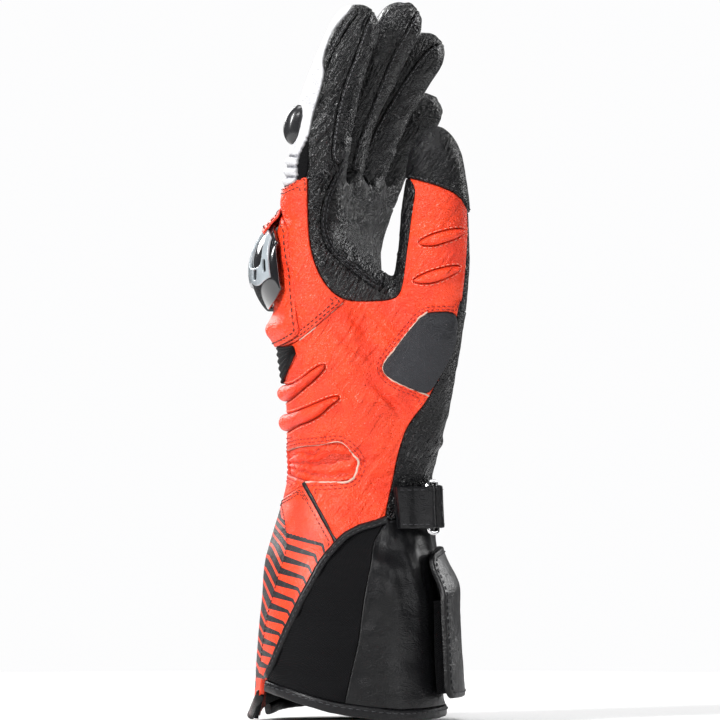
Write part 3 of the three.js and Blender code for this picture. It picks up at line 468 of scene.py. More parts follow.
def edge_pairs(triangles):
    return np.vstack([triangles[:, [0, 1]], triangles[:, [1, 2]], triangles[:, [2, 0]]])


def relaxed(skin, share, values=None):
    """Each vertex, or its values, moved towards its neighbours' mean."""
    values = skin.points if values is None else values
    pairs = edge_pairs(skin.triangles)
    total, count = np.zeros_like(values, dtype=float), np.zeros(len(values))
    for a, b in ((0, 1), (1, 0)):
        np.add.at(total, pairs[:, a], values[pairs[:, b]])
        np.add.at(count, pairs[:, a], 1)
    shape = (-1,) + (1,) * (values.ndim - 1)
    return values + (total / np.maximum(count, 1).reshape(shape) - values) * share


def projected(function, p):
    """Points moved onto function = 0, and the normals there."""
    step = 0.15
    value = function(p)
    slope = np.stack([function(p + step * np.eye(3)[k]) - function(p - step * np.eye(3)[k])
                      for k in range(3)], -1) / (2 * step)
    size = np.maximum(np.linalg.norm(slope, axis=1), 0.2)
    return p - slope * np.clip(value / size ** 2, -1.5, 1.5)[:, None], slope / size[:, None]


def split(skin, field, snap=0.08):
    """The skin with new edges where field crosses 0: (skin, field at its vertices)."""
    field = np.where(np.abs(field) < snap, 0.0, field)
    sign = np.sign(field)
    s = sign[skin.triangles]
    crossed = (s.min(1) < 0) & (s.max(1) > 0)
    whole, cut, s = skin.triangles[~crossed], skin.triangles[crossed], s[crossed]
    n = len(skin.points)
    pairs = edge_pairs(cut)
    ends = np.sort(pairs, axis=1)
    mixed = sign[ends[:, 0]] * sign[ends[:, 1]] < 0
    keys = ends[:, 0].astype(np.int64) * n + ends[:, 1]
    wanted, inverse = np.unique(keys[mixed], return_inverse=True)
    a, b = wanted // n, wanted % n
    t = field[a] / (field[a] - field[b])
    between = lambda v: v[a] + (v[b] - v[a]) * t.reshape((-1,) + (1,) * (v.ndim - 1))
    points = np.vstack([skin.points, between(skin.points)])
    values = {k: np.concatenate([v, between(v)]) for k, v in skin.values.items()}
    number = np.full(len(keys), -1)
    number[mixed] = n + inverse
    number = number.reshape(3, -1).T  # the new vertex on edges 01, 12 and 20
    out = [whole]
    zeros = (s == 0).sum(1)
    for k in range(3):
        turn = [k, (k + 1) % 3, (k + 2) % 3]
        v, e, sk = cut[:, turn], number[:, turn], s[:, turn]
        one = (zeros == 1) & (sk[:, 0] == 0)
        out.append(np.stack([v[one, 0], v[one, 1], e[one, 1]], 1))
        out.append(np.stack([v[one, 0], e[one, 1], v[one, 2]], 1))
        lone = (zeros == 0) & (sk[:, 1] == sk[:, 2])
        out.append(np.stack([v[lone, 0], e[lone, 0], e[lone, 2]], 1))
        out.append(np.stack([e[lone, 0], v[lone, 1], v[lone, 2]], 1))
        out.append(np.stack([e[lone, 0], v[lone, 2], e[lone, 2]], 1))
    made = Skin(points, np.vstack(out), values)
    return made, np.concatenate([field, np.zeros(len(wanted))])


def cut_skin(skin, field):
    """(the part where field is above 0, the rest)."""
    skin, field = split(skin, field)
    total = field[skin.triangles].sum(1)
    return skin.picked(total > 0), skin.picked(total <= 0)


def boundary_edges(triangles):
    pairs = edge_pairs(triangles)
    ends = np.sort(pairs, axis=1)
    _, first, count = np.unique(ends[:, 0].astype(np.int64) * (ends.max() + 1) + ends[:, 1],
                                return_index=True, return_counts=True)
    return pairs[first[count == 1]]


# Values over a skin


def noise(p, size, seed=0):
    """Smooth random values from -1 to 1. size is the grain in millimetres, or one for each axis."""
    q = np.asarray(p, float) / size + seed * 17.13 + 1000
    i = np.floor(q).astype(np.int64)
    f = q - i
    f = f * f * f * (f * (f * 6 - 15) + 10)
    total = np.zeros(len(q))
    for a, b, c in CORNERS:
        h = ((i[:, 0] + a) * 73856093) ^ ((i[:, 1] + b) * 19349663) ^ ((i[:, 2] + c) * 83492791)
        h = (h * 2654435761) & 0xFFFFFFFF
        h = ((h ^ (h >> 15)) * 2246822519) & 0xFFFFFFFF
        value = ((h ^ (h >> 13)) & 0xFFFF) / 32767.5 - 1
        weight = (f[:, 0] if a else 1 - f[:, 0]) * (f[:, 1] if b else 1 - f[:, 1])
        total += weight * (f[:, 2] if c else 1 - f[:, 2]) * value
    return total


def jitter(p, amount, sizes, seed):
    """Random offsets of points. sizes holds the grain for each axis."""
    return amount * np.stack([noise(p, size, seed + k) for k, size in enumerate(sizes)], -1)


def smooth_step(x, low, high):
    t = np.clip((x - low) / (high - low), 0, 1)
    return t * t * (3 - 2 * t)


def plateau(x, a, b, c, d):
    """Up from 0 to 1 between a and b, and down again between c and d."""
    return smooth_step(x, a, b) * (1 - smooth_step(x, c, d))


def rounded_outline(outline, times=2, most=6.0):
    """A closed outline with its corners cut, so that seams run in curves."""
    points = np.asarray(outline, float)
    for _ in range(times):
        following = np.roll(points, -1, axis=0)
        lengths = np.linalg.norm(following - points, axis=1)[:, None]
        share = np.minimum(0.25, most / np.maximum(lengths, 1e-6))
        a, b = points + (following - points) * share, following - (following - points) * share
        points = np.stack([a, b], 1).reshape(-1, 2)
    return points


def outline_distance(p, outline):
    """The signed distance of 2-D points to a closed outline, above 0 inside."""
    best = np.full(len(p), np.inf)
    inside = np.zeros(len(p), bool)
    for a, b in zip(outline, np.roll(outline, -1, axis=0)):
        ab = b - a
        t = np.clip(((p - a) @ ab) / max(ab @ ab, 1e-12), 0, 1)
        best = np.minimum(best, ((p - a - t[:, None] * ab) ** 2).sum(1))
        crossing = (a[1] > p[:, 1]) != (b[1] > p[:, 1])
        if abs(ab[1]) > 1e-12:
            inside ^= crossing & (p[:, 0] < a[0] + (p[:, 1] - a[1]) * ab[0] / ab[1])
    return np.where(inside, 1, -1) * np.sqrt(best)


def line_distance(p, line):
    """The distance of 2-D points to an open line, and the share of its length where they are nearest."""
    line = np.asarray(line, float)
    run = run_along(line)
    best, at = np.full(len(p), np.inf), np.zeros(len(p))
    for i in range(len(line) - 1):
        ab = line[i + 1] - line[i]
        t = np.clip(((p - line[i]) @ ab) / max(ab @ ab, 1e-12), 0, 1)
        d = ((p - line[i] - t[:, None] * ab) ** 2).sum(1)
        nearer = d < best
        best = np.where(nearer, d, best)
        at = np.where(nearer, (run[i] + t * (run[i + 1] - run[i])) / run[-1], at)
    return np.sqrt(best), at


def to_side(outline):
    """Side-view units to millimetres, x and z."""
    outline = np.asarray(outline, float)
    return np.stack([outline[:, 0] - SIDE_MIDDLE, SIDE_BOTTOM - outline[:, 1]], 1) * SIDE_UNIT


def to_units(p):
    return np.stack([SIDE_MIDDLE + p[:, 0] / SIDE_UNIT, SIDE_BOTTOM - p[:, 2] / SIDE_UNIT], 1)


def from_levels(outline):
    """Shares of the body's half depth and levels to millimetres, x and z."""
    outline = np.asarray(outline, float)
    z = height_of(outline[:, 1])
    held = np.clip(z, 0, WEB_HEIGHT)
    return np.stack([body("middle", held) + outline[:, 0] * body("half_depth", held), z], 1)


BEYOND = 5
TONGUE = [(-0.98, 0.02), (-0.99, -0.3)]
DIAGONAL = [(-0.28, 0.97), (-0.42, 0.83), (-0.58, 0.67), (-0.72, 0.48), (-0.86, 0.29), (-0.93, 0.16)]
HEM_AT = [-0.93, -0.83, -0.52, -0.05, 0.53, 1.0]
HEM_NEAR = [0.235, 0.22, 0.17, 0.11, 0.075, 0.085]
HEM_FAR = [0.06, 0.085, 0.11, 0.09, 0.07, 0.085]
CUFF_TOP = 1.24


def hem_level(across, side):
    return cubic(HEM_AT, HEM_NEAR if side > 0 else HEM_FAR, across)


def hem_line(side):
    shares = (-0.93, -0.83, -0.7, -0.52, -0.3, -0.05, 0.24, 0.53, 0.8, 1)
    return [(a, float(hem_level(a, side))) for a in shares]


BELOW_HEM = [(BEYOND, 0.085), (BEYOND, -0.3), *TONGUE[::-1]]
# Outlines on the far side, in shares and levels
FAR = {
    "hem": [*hem_line(-1), *BELOW_HEM],
    "cuff_back": [(-BEYOND, 1.66), (-1.01, 1.66), (-0.6, 1.4), *DIAGONAL, *TONGUE, (-BEYOND, -0.3)],
    "cuff_palm": [(-0.5, CUFF_TOP), *DIAGONAL, (-0.93, -0.2), (BEYOND, -0.2), (BEYOND, CUFF_TOP)],
    "palm": [(0, CUFF_TOP), (0, 2.2), (0.1, 2.4), (0.3, 2.65), (0.55, 2.85), (0.85, 3), (0.95, 3.2),
             (BEYOND, 3.2), (BEYOND, CUFF_TOP)],
}
# Lines on the thumb's side, in units of the side view
PIPED = [(386, 518), (376, 521.5), (358, 527), (345, 534.5), (332, 548), (323, 559), (314, 575), (302.6, 596),
         (293, 616), (284, 636), (275, 658), (266, 679), (258, 699), (252, 715)]
CRESCENT = [(342, 165), (333, 180), (326, 195), (321, 215), (321, 232), (326, 247), (335, 258), (345, 267),
            (360, 278), (372, 288)]
KNUCKLE_SEAM = [(346, 301), (333, 312), (322, 322), (311, 331.5), (300, 340), (287, 347)]
NEAR = {
    "cuff_back": [(200, 500), (270, 501), (283, 498), (303, 484), (318, 508), (336, 541),
                  *PIPED[4:], (250, 745), (200, 745)],
    "cuff_side": [*PIPED, (248, 760), (340, 760), (345, 697), (351, 670), (358, 640), (364, 595),
                  (371, 560), (373, 540), (386, 519)],
    "cuff_palm": [*PIPED, (248, 760), (700, 760), (700, 518)],
    "thumb_patch": [(427, 313), (456, 312), (455.5, 340), (447, 362), (428, 395), (410, 388), (390, 379),
                    (383, 372), (382, 365), (390, 355), (405, 335), (420, 317)],
    "webbing": [(308, 150), (308, 180), (308, 200), (309, 235), (312, 255), (318, 272), (326, 286),
                (338, 298), (352, 302), (370, 302), (388, 301), (398, 297), (402, 287), (405, 265),
                (408, 240), (412, 210), (416, 184), (380, 160), (385, 294), *CRESCENT[::-1], (342, 130),
                (308, 130)],
    "palm_upper": [*CRESCENT, (385, 295), (399, 293), (430, 291), (430, 100), (342, 100)],
    "palm_lower": [(600, 296), (461, 296), (456, 312), (455.5, 340), (447, 362), (428, 397), (422, 406),
                   (412, 418), (405, 430), (400, 445), (396, 460), (393, 478), (388, 500), (384, 519),
                   (378, 560), (600, 560)],
    "knuckle_panel": [(200, 100), (330, 100), (330, 285), *KNUCKLE_SEAM, (270, 352), (200, 360)],
    "white_index": [(358, -20), (356, 10), (335, 30), (323, 60), (325, 76), (322, 90), (319, 100),
                    (315, 112), (312, 125), (310, 138), (303, 150), (300, 157), (297, 168), (299, 182),
                    (287, 189), (200, 193), (200, -20)],
    "index_stretch": [(296, 136), (308, 128), (309, 150), (308, 182), (290, 188)],
    "index_tip": [(310, 62), (325, 30), (351, 8), (361, 14), (345, 35), (337, 50), (330, 62), (326, 77),
                  (316, 77)],
    "index_front": [(380, -20), (378, 2), (365, 30), (360, 45), (353, 65), (347, 80), (342, 95),
                    (338, 112), (335, 128), (333, 145), (331, 160), (342, 170), (358, 175), (420, 175),
                    (420, -20)],
    "middle_front": [(440, -20), (424, 0), (417, 12), (410, 25), (403, 38), (397, 48), (391, 60),
                     (383, 80), (373, 105), (364, 130), (356, 150), (350, 180), (460, 190), (460, -20)],
    "ring_front": [(470, 36), (441, 43), (430, 47), (420, 58), (410, 72), (403, 82), (395, 95),
                   (388, 107), (380, 120), (372, 138), (366, 152), (361, 168), (360, 230), (500, 230),
                   (500, 36)],
    "window": [(286, 450), (300, 446), (320, 444), (341, 441), (352, 451), (358, 459), (358, 466),
               (352, 479), (330, 481), (308, 481), (286, 474)],
    "bar_upper": [(262, 370), (276, 384), (292, 385), (303, 378), (315, 368), (324, 363.5), (327, 366),
                  (317, 378), (305, 388), (295, 397), (286, 403), (270, 398), (255, 380)],
    "bar_lower": [(262, 400), (276, 413), (290, 414), (302, 409), (318, 402), (333, 396), (341, 395.5),
                  (339, 399), (330, 405), (322, 414), (310, 421), (298, 425), (288, 433), (270, 428),
                  (255, 410)],
    "thumb_bar_lower": [(411, 282), (418, 277), (428, 272.5), (440, 269), (451, 266.5), (459, 267),
                        (458, 271), (450, 276), (440, 281), (428, 284.5), (417, 284)],
    "thumb_bar_upper": [(417, 244), (423, 239.5), (432, 235.5), (444, 232), (456, 230), (464, 231),
                        (462, 235), (454, 240), (443, 244), (432, 247.5), (421, 247)],
}
# How far the corners of an outline are cut, in millimetres, where it isn't the usual length
SHARP = {"cuff_back": 1.0, "window": 1.2, "cuff_side": 1.5, "knuckle_panel": 1.5, "thumb_patch": 2.5,
         "cuff_palm": 1.5}


def near_field(p, name):
    return outline_distance(p[:, [0, 2]], rounded_outline(to_side(NEAR[name]), 2, SHARP.get(name, 6.0)))


def far_field(p, name):
    return outline_distance(p[:, [0, 2]], rounded_outline(from_levels(FAR[name]), 1))


def both_sides(p, near, far, width=5.0):
    """The near field on the thumb's side, which turns into the far one over the glove's middle."""
    share = smooth_step(p[:, 1], -width, width)
    return near * (1 - share) + far * share


# Materials


class Graph:
    """A new material, with short calls for its nodes."""

    def __init__(self, name):
        self.material = bpy.data.materials.new(name)
        self.material.use_nodes = True
        self.tree = self.material.node_tree
        self.tree.nodes.clear()
        out = self.tree.nodes.new("ShaderNodeOutputMaterial")
        self.shader = self.tree.nodes.new("ShaderNodeBsdfPrincipled")
        self.tree.links.new(self.shader.outputs[0], out.inputs[0])

    def fill(self, node, inputs):
        for key, value in inputs.items():
            if isinstance(value, bpy.types.NodeSocket):
                self.tree.links.new(value, node.inputs[key])
            else:
                node.inputs[key].default_value = value

    def done(self, inputs):
        """The material, with its shader's inputs linked or set."""
        self.fill(self.shader, inputs)
        return self.material

    def node(self, kind, inputs=None, **settings):
        made = self.tree.nodes.new(kind)
        for key, value in settings.items():
            setattr(made, key, value)
        self.fill(made, inputs or {})
        return made

    def place(self, scale):
        """Object coordinates, where 1 is 1 / scale millimetres."""
        spot = self.node("ShaderNodeTexCoord").outputs["Object"]
        factors = scale if isinstance(scale, tuple) else (scale,) * 3
        inputs = {"Vector": spot, "Scale": [1000 * f for f in factors]}
        return self.node("ShaderNodeMapping", inputs).outputs[0]

    def clouds(self, place, detail=2.0, roughness=0.5, distortion=0.0, output="Fac"):
        inputs = {"Vector": place, "Scale": 1.0, "Detail": detail, "Roughness": roughness,
                  "Distortion": distortion}
        return self.node("ShaderNodeTexNoise", inputs).outputs[output]

    def noise(self, scale, *settings):
        return self.clouds(self.place(scale), *settings)

    def rolled_noise(self, degrees, sizes):
        """Noise stretched along a direction of the side view. sizes are in millimetres."""
        spot = self.node("ShaderNodeTexCoord").outputs["Object"]
        turn, scale = (0, math.radians(degrees), 0), [1000 / size for size in sizes]
        for key, value in (("Rotation", turn), ("Scale", scale)):
            spot = self.node("ShaderNodeMapping", {"Vector": spot, key: value}).outputs[0]
        return self.clouds(spot, 0.0)

    def maths(self, operation, a, b=0.0):
        return self.node("ShaderNodeMath", {0: a, 1: b}, operation=operation).outputs[0]

    def ramp(self, value, low, high, to_low=0.0, to_high=1.0):
        inputs = {"Value": value, "From Min": low, "From Max": high, "To Min": to_low, "To Max": to_high}
        return self.node("ShaderNodeMapRange", inputs, interpolation_type="SMOOTHSTEP").outputs[0]

    def mix(self, share, a, b):
        return self.node("ShaderNodeMix", {0: share, 6: a, 7: b}, data_type="RGBA").outputs[2]

    def attribute(self, name):
        return self.node("ShaderNodeAttribute", attribute_name=name).outputs["Fac"]

    def bump(self, height, distance, strength=1.0, normal=None):
        inputs = {"Height": height, "Distance": distance * MM, "Strength": strength}
        if normal is not None:
            inputs["Normal"] = normal
        return self.node("ShaderNodeBump", inputs).outputs[0]


def rgb(colour, share=1.0):
    return (*[share * c for c in colour], 1.0)


def leather(name, colour, shade, roughness=0.42, grain=1.1, grain_depth=0.09, specular=0.5, crease=0.25,
            colour_node=None, folds=None, crevice_shade=0.35):
    """Grained leather, with painted shade in its grain's valleys and near its edges. grain is the grain's size
    in millimetres, folds a direction, sizes and a depth, crevice_shade how dark the grain's valleys are
    painted.
    """
    g = Graph(name)
    warp = g.clouds(g.place(1 / (2.2 * grain)), output="Color")
    moved = g.node("ShaderNodeVectorMath", {0: g.place(1 / grain), 1: warp}, operation="ADD").outputs[0]
    cells = g.node("ShaderNodeTexVoronoi", {"Vector": moved, "Scale": 1.0}, feature="DISTANCE_TO_EDGE")
    pebbles = g.ramp(cells.outputs["Distance"], 0.0, 0.35)
    patches = g.noise(1 / 16.0, 3.0, 0.55)
    tone = g.mix(g.ramp(patches, 0.35, 0.7), rgb(colour), rgb(shade))
    # Painted shade: darker in the valleys between the grain's pebbles, as deep as crevice_shade.
    tone = g.mix(g.ramp(pebbles, 0.0, 0.6, crevice_shade, 0.0), tone, rgb(shade, 0.55))
    # Painted shade: darker near the piece's edge, where the seams and rounded rims lie, and over its inner
    # face.
    tone = g.mix(g.ramp(g.attribute("edge"), 0.05, 0.7, 0.55, 0.0), tone, rgb(shade, 0.35))
    if colour_node:
        tone = colour_node(g, tone)
    wavy = g.noise((1 / 7.0, 1 / 7.0, 1 / 3.2), 3.0, 0.6, 1.2)
    creased = g.ramp(g.maths("ABSOLUTE", g.maths("SUBTRACT", wavy, 0.5)), 0.0, 0.15)
    where = g.ramp(g.noise(1 / 21.0), 0.4, 0.6)
    low = g.bump(g.maths("MULTIPLY", creased, where), crease, 0.9)
    if folds:
        degrees, sizes, depth = folds
        deep = g.ramp(g.noise(1 / 14.0, 1.0), 0.38, 0.62, 0.25, 1.0)
        lines = g.ramp(g.rolled_noise(degrees, sizes), 0.32, 0.62)
        low = g.bump(g.maths("MULTIPLY", deep, lines), depth, 1.0, low)
    low = g.bump(pebbles, grain_depth, 1.0, low)
    low = g.bump(g.noise(1 / PORE_SIZE), PORE_DEPTH, 0.6, low)
    low = g.bump(g.noise(1 / 5.0, 4.0, 0.6), 0.35, 0.5, low)
    shine = g.ramp(patches, 0.3, 0.75, roughness - 0.06, roughness + 0.08)
    return g.done({"Base Color": tone, "Roughness": shine, "Specular IOR Level": specular, "Normal": low})


def plain(name, colour, roughness, metallic=0.0, coat=0.0):
    """Moulded plastic, thread or metal with faint unevenness."""
    g = Graph(name)
    patches = g.noise(1 / 9.0, 4.0, 0.6)
    return g.done({"Base Color": g.mix(g.ramp(patches, 0.3, 0.7), rgb(colour), rgb(colour, 0.82)),
                   "Roughness": g.ramp(patches, 0.3, 0.75, roughness - SCUFFS, roughness + SCUFFS),
                   "Metallic": metallic, "Coat Weight": coat, "Normal": g.bump(g.noise(1 / 0.5), 0.02, 0.6)})


def woven(name, colour, light, pitch=0.9, depth=0.25):
    """Fine ribbed textile, with painted highlights on its raised threads and painted shade between them."""
    g = Graph(name)
    p = g.place(1 / pitch)
    bands = {"Vector": p, "Scale": 0.5, "Detail": 1.0}
    u = g.node("ShaderNodeTexWave", {**bands, "Distortion": 0.6, "Detail Scale": 2.0}, bands_direction="Z")
    v = g.node("ShaderNodeTexWave", {**bands, "Distortion": 0.4}, bands_direction="DIAGONAL")
    weave = g.maths("MULTIPLY", u.outputs["Fac"], v.outputs["Fac"])
    fuzz = g.noise(1 / 0.25)
    # Painted highlight and shade: lighter where the weave and its fuzz rise, darker in the gaps between the
    # threads.
    return g.done({"Base Color": g.mix(g.maths("MULTIPLY", weave, fuzz), rgb(colour), rgb(light)),
                   "Roughness": 0.85, "Sheen Weight": 0.02, "Sheen Roughness": 0.4,
                   "Specular IOR Level": 0.14, "Normal": g.bump(fuzz, 0.08, 0.6, g.bump(weave, depth))})


def striped(g, base):
    """Dark stripes over a colour, along the value stripe. Their width is the value striped."""
    wave = g.maths("FRACT", g.attribute("stripe"))
    middle = g.maths("ABSOLUTE", g.maths("SUBTRACT", wave, 0.5))
    dark = g.ramp(g.maths("SUBTRACT", g.attribute("striped"), middle), -0.012, 0.012)
    return g.mix(dark, base, rgb((0.014, 0.014, 0.016)))


def shaded_grooves(g, base):
    """Painted shade: grey in the gaps between the ribs, along the value groove."""
    return g.mix(g.ramp(g.attribute("groove"), 0.3, 0.9), base, rgb((0.2, 0.2, 0.22)))


PORE_SIZE, PORE_DEPTH = 0.35, 0.025
SCUFFS = 0.06
ORANGE = (1.0, 0.062, 0.012), (0.88, 0.042, 0.010)
BLACK = (0.0045, 0.0045, 0.0055), (0.0025, 0.0025, 0.003)
ORANGE_FOLDS = (-35, (2.4, 9, 12), 0.55)
BLACK_FOLDS = (-30, (1.2, 6, 8), 1.0)
MATERIALS = {
    "orange": leather("orange_leather", *ORANGE, 0.42, 1.1, 0.2, 0.45, 0.3, folds=ORANGE_FOLDS, crevice_shade=0.12),
    "stripes": leather("striped_leather", *ORANGE, 0.44, 1.0, 0.07, crease=0.1, colour_node=striped),
    "black": leather("black_leather", *BLACK, 0.22, 1.0, 0.2, 0.5, 0.3, folds=BLACK_FOLDS),
    "palm": leather("palm_leather", *BLACK, 0.26, 1.0, 0.22, 0.34, 0.3, folds=BLACK_FOLDS),
    "satin": leather("satin_leather", (0.006, 0.006, 0.007), (0.0045, 0.0045, 0.005), 0.36, 0.8, 0.035, 0.3,
                     0.1),
    "grey": leather("grey_suede", (0.028, 0.029, 0.034), (0.021, 0.021, 0.025), 0.5, 0.9, 0.12, 0.3, 0.5),
    "white": leather("white_leather", (0.68, 0.68, 0.69), (0.60, 0.60, 0.62), 0.42, 1.0, 0.10, crevice_shade=0.1,
                     colour_node=shaded_grooves),
    "textile": woven("black_textile", (0.002, 0.002, 0.0025), (0.011, 0.011, 0.013)),
    "rubber": woven("stretch_rubber", (0.01, 0.01, 0.011), (0.03, 0.03, 0.03), 0.6, 0.2),
    "hook": woven("hook_pile", (0.006, 0.006, 0.007), (0.035, 0.035, 0.038), 0.7, 0.5),
    "carbon": plain("carbon_shell", (0.012, 0.012, 0.014), 0.14, coat=1.0),
    "guard": plain("finger_guard", (0.022, 0.022, 0.024), 0.3, coat=0.3),
    "strap": leather("strap_leather", (0.006, 0.006, 0.007), (0.004, 0.004, 0.005), 0.34, 0.7, 0.04, 0.3, 0.1),
    "moulded": plain("moulded_grey", (0.36, 0.40, 0.43), 0.25, coat=0.6),
    "steel": plain("polished_steel", (0.75, 0.75, 0.76), 0.14, 1.0),
    "thread_dark": plain("dark_thread", (0.018, 0.006, 0.006), 0.6),
    "thread_orange": plain("orange_thread", (1.0, 0.32, 0.22), 0.55),
    "thread_red": plain("red_thread", (0.42, 0.012, 0.008), 0.55),
    "thread_grey": plain("grey_thread", (0.035, 0.035, 0.04), 0.6),
    "thread_light": plain("light_thread", (0.16, 0.16, 0.17), 0.6),
    "raw": plain("raw_edge", (0.62, 0.42, 0.34), 0.8),
}


# The panels

THUMB_MIDDLE = -0.31 * PALM_BREADTH
WEB_EDGE = -0.17 * PALM_BREADTH
CROTCH = float(height_of(2.63))
SERRATION, TOOTH_PITCH = 0.9, 5.5
SHELL_END = 1.0  # the height at which the shell ends at the cuff's mouth
OUTSIDE = -5.0
# Lines of the side view above which the thumb's cap, the index finger and the other fingers begin
CAP_LOW = ([380, 410, 418, 436, 452, 460, 466, 472, 480], [178, 181, 183, 188, 194.5, 201, 212, 226, 240])
INDEX_LOW = ([250, 287, 306, 310, 341, 345, 358, 390], [193, 189, 179, 182, 165, 160, 171, 171])
FINGERS_LOW = ([250, 300, 340, 358, 372, 388, 410], [187, 185, 176, 171, 186, 205, 215])


def above_line(p, line):
    """How far points lie above a line of the side view, in millimetres."""
    u, v = to_units(p).T
    return (np.interp(u, *line) - v) * SIDE_UNIT


def saw(p):
    """Teeth along the lower edge of the index finger's back."""
    v = to_units(p)[:, 1]
    teeth = 2 * np.abs((v / TOOTH_PITCH) % 1 - 0.5) - 0.5
    return teeth * smooth_step(v, 136, 142) * (1 - smooth_step(v, 178, 184))


def nearest_finger(d, rows):
    return np.minimum.reduce([d[row[0]] for row in rows])


def past_thumb(d):
    """Above 0 where the thumb is nearer than the body and the web."""
    return np.minimum(d["body"], d["web"]) - d["thumb"]


def on_both_sides(name):
    return lambda p, d: both_sides(p, near_field(p, name), far_field(p, name))


def anywhere(name):
    return lambda p, d: near_field(p, name)


def on_near_side(name):
    return lambda p, d: np.where(p[:, 1] < 0, near_field(p, name), OUTSIDE)


def on_thumb_side(name):
    return lambda p, d: np.minimum(near_field(p, name), THUMB_MIDDLE - p[:, 1])


def hem_field(p, d):
    near = outline_distance(p[:, [0, 2]], from_levels([*hem_line(1), *BELOW_HEM, (-0.93, 0.16)]))
    return both_sides(p, near, far_field(p, "hem"))


def thumb_cap_field(p, d):
    own = np.minimum.reduce([d["body"], d["web"], nearest_finger(d, FINGERS) - 0.5]) - d["thumb"]
    return np.minimum.reduce([above_line(p, CAP_LOW), own, (THUMB.local(p)[0] - 0.6) * 100])


def thumb_front_field(p, d):
    """The thumb's far face, and the strip of it that shows on the near side."""
    at, _, b, _ = THUMB.local(p)
    ra, rb = THUMB.radii(at)
    front = past_thumb(d) - 1.5
    off_middle = p[:, 1] - THUMB.point(np.clip(at, 0, 1), 0 * at, -ra)[:, 1]
    far_face = np.minimum.reduce([front, (-b / rb - 0.1) * 12, p[:, 2] - CROTCH + 1, off_middle - 1])
    line = to_side([(468.5, 236), (465, 260), (462, 280), (457, 312), (450, 345)])
    run = p[:, 0] - np.interp(-p[:, 2], -line[:, 1], line[:, 0])
    low = to_side([(0, 312)])[0, 1]
    strip = np.minimum.reduce([run + 0.8 * (off_middle + 0.42 * rb), front, p[:, 2] - low])
    return np.maximum(far_face, strip)


def index_web_field(p, d):
    web = np.minimum(near_field(p, "webbing"), WEB_EDGE - p[:, 1])
    own = nearest_finger(d, FINGERS[1:]) - d["index"]
    return np.maximum(web, np.minimum(above_line(p, INDEX_LOW), own))


def finger_field(row):
    others = [other for other in FINGERS if other is not row]
    return lambda p, d: np.minimum(above_line(p, FINGERS_LOW), nearest_finger(d, others) - d[row[0]])


def palm_field(p, d):
    inside = outline_distance(p[:, [0, 2]], from_levels([
        (0.1, CUFF_TOP), (0.1, 2.1), (0.2, 2.4), (0.2, 2.8), (-0.1, 3.2), (BEYOND, 3.2), (BEYOND, CUFF_TOP)]))
    inside = np.minimum.reduce([inside, p[:, 1] + 0.36 * PALM_BREADTH, p[:, 2] - 155])
    face = np.minimum.reduce([p[:, 0] - 12, p[:, 1] + 19, p[:, 2] - 118, 215 - p[:, 2]])
    near = np.maximum.reduce([near_field(p, "palm_upper"), near_field(p, "palm_lower"), inside, face])
    off_thumb = np.where(p[:, 2] > CROTCH, 1.6 - past_thumb(d), 9.0)
    return np.minimum(both_sides(p, near, far_field(p, "palm")), off_thumb)


def finger_back_field(name, p):
    at, a, b, _ = TUBES[name].local(p)
    ra, rb = TUBES[name].radii(at)
    end = 0.93 if name == "index" else 0.8
    share = np.interp(at, [0, 0.3, 0.55, 0.75, end], [0.2, 0.3, 0.42, 0.72, 1.02])
    field = np.minimum((a / ra - share) * ra, above_line(p, FINGERS_LOW) - 1)
    if name == "index":
        near = near_field(p, "white_index") + SERRATION * saw(p)
        mixed = smooth_step(-b / rb, -0.2, 0.2)
        field = near * (1 - mixed) + field * mixed
    return field


# In the order in which they are cut from what is left
CUTS = [
    ("cuff_back", on_both_sides("cuff_back")), ("cuff_side", on_near_side("cuff_side")),
    ("cuff_palm", on_both_sides("cuff_palm")), ("thumb_cap", thumb_cap_field),
    ("thumb_patch", on_thumb_side("thumb_patch")), ("thumb_front", thumb_front_field),
    ("index", index_web_field), *[(row[0], finger_field(row)) for row in FINGERS[1:]], ("palm", palm_field),
    ("bar_upper", anywhere("bar_upper")), ("bar_lower", anywhere("bar_lower")),
    ("window", on_near_side("window")), ("thumb_bar_lower", on_thumb_side("thumb_bar_lower")),
    ("thumb_bar_upper", on_thumb_side("thumb_bar_upper")), ("knuckle_panel", anywhere("knuckle_panel")),
]


def cut_panels(skin):
    """All panels of the shell by name."""
    skin = cut_skin(skin, hem_field(skin.points, skin.values))[1]
    skin = cut_skin(skin, skin.points[:, 2] - SHELL_END)[0]
    made = {}
    for name, field in CUTS:
        made[name], skin = cut_skin(skin, field(skin.points, skin.values))
    made["orange_hand"] = skin
    for name, tube in TUBES.items():
        whole = made.pop(name)
        made[name + "_back"], side = cut_skin(whole, finger_back_field(name, whole.points))
        for patch in ("index_stretch", "index_tip") if name == "index" else ():
            b = tube.local(side.points)[2]
            made[patch], side = cut_skin(side, np.minimum(near_field(side.points, patch), b))
        if name != "little":
            made[name + "_front"], side = cut_skin(side, near_field(side.points, name + "_front"))
        made[name + "_side"] = side
    return made


# From skins to pieces


def vertex_normals(points, triangles):
    a, b, c = (points[triangles[:, k]] for k in range(3))
    face = np.cross(b - a, c - a)
    total = np.zeros_like(points)
    for k in range(3):
        np.add.at(total, triangles[:, k], face)
    return unit(total)


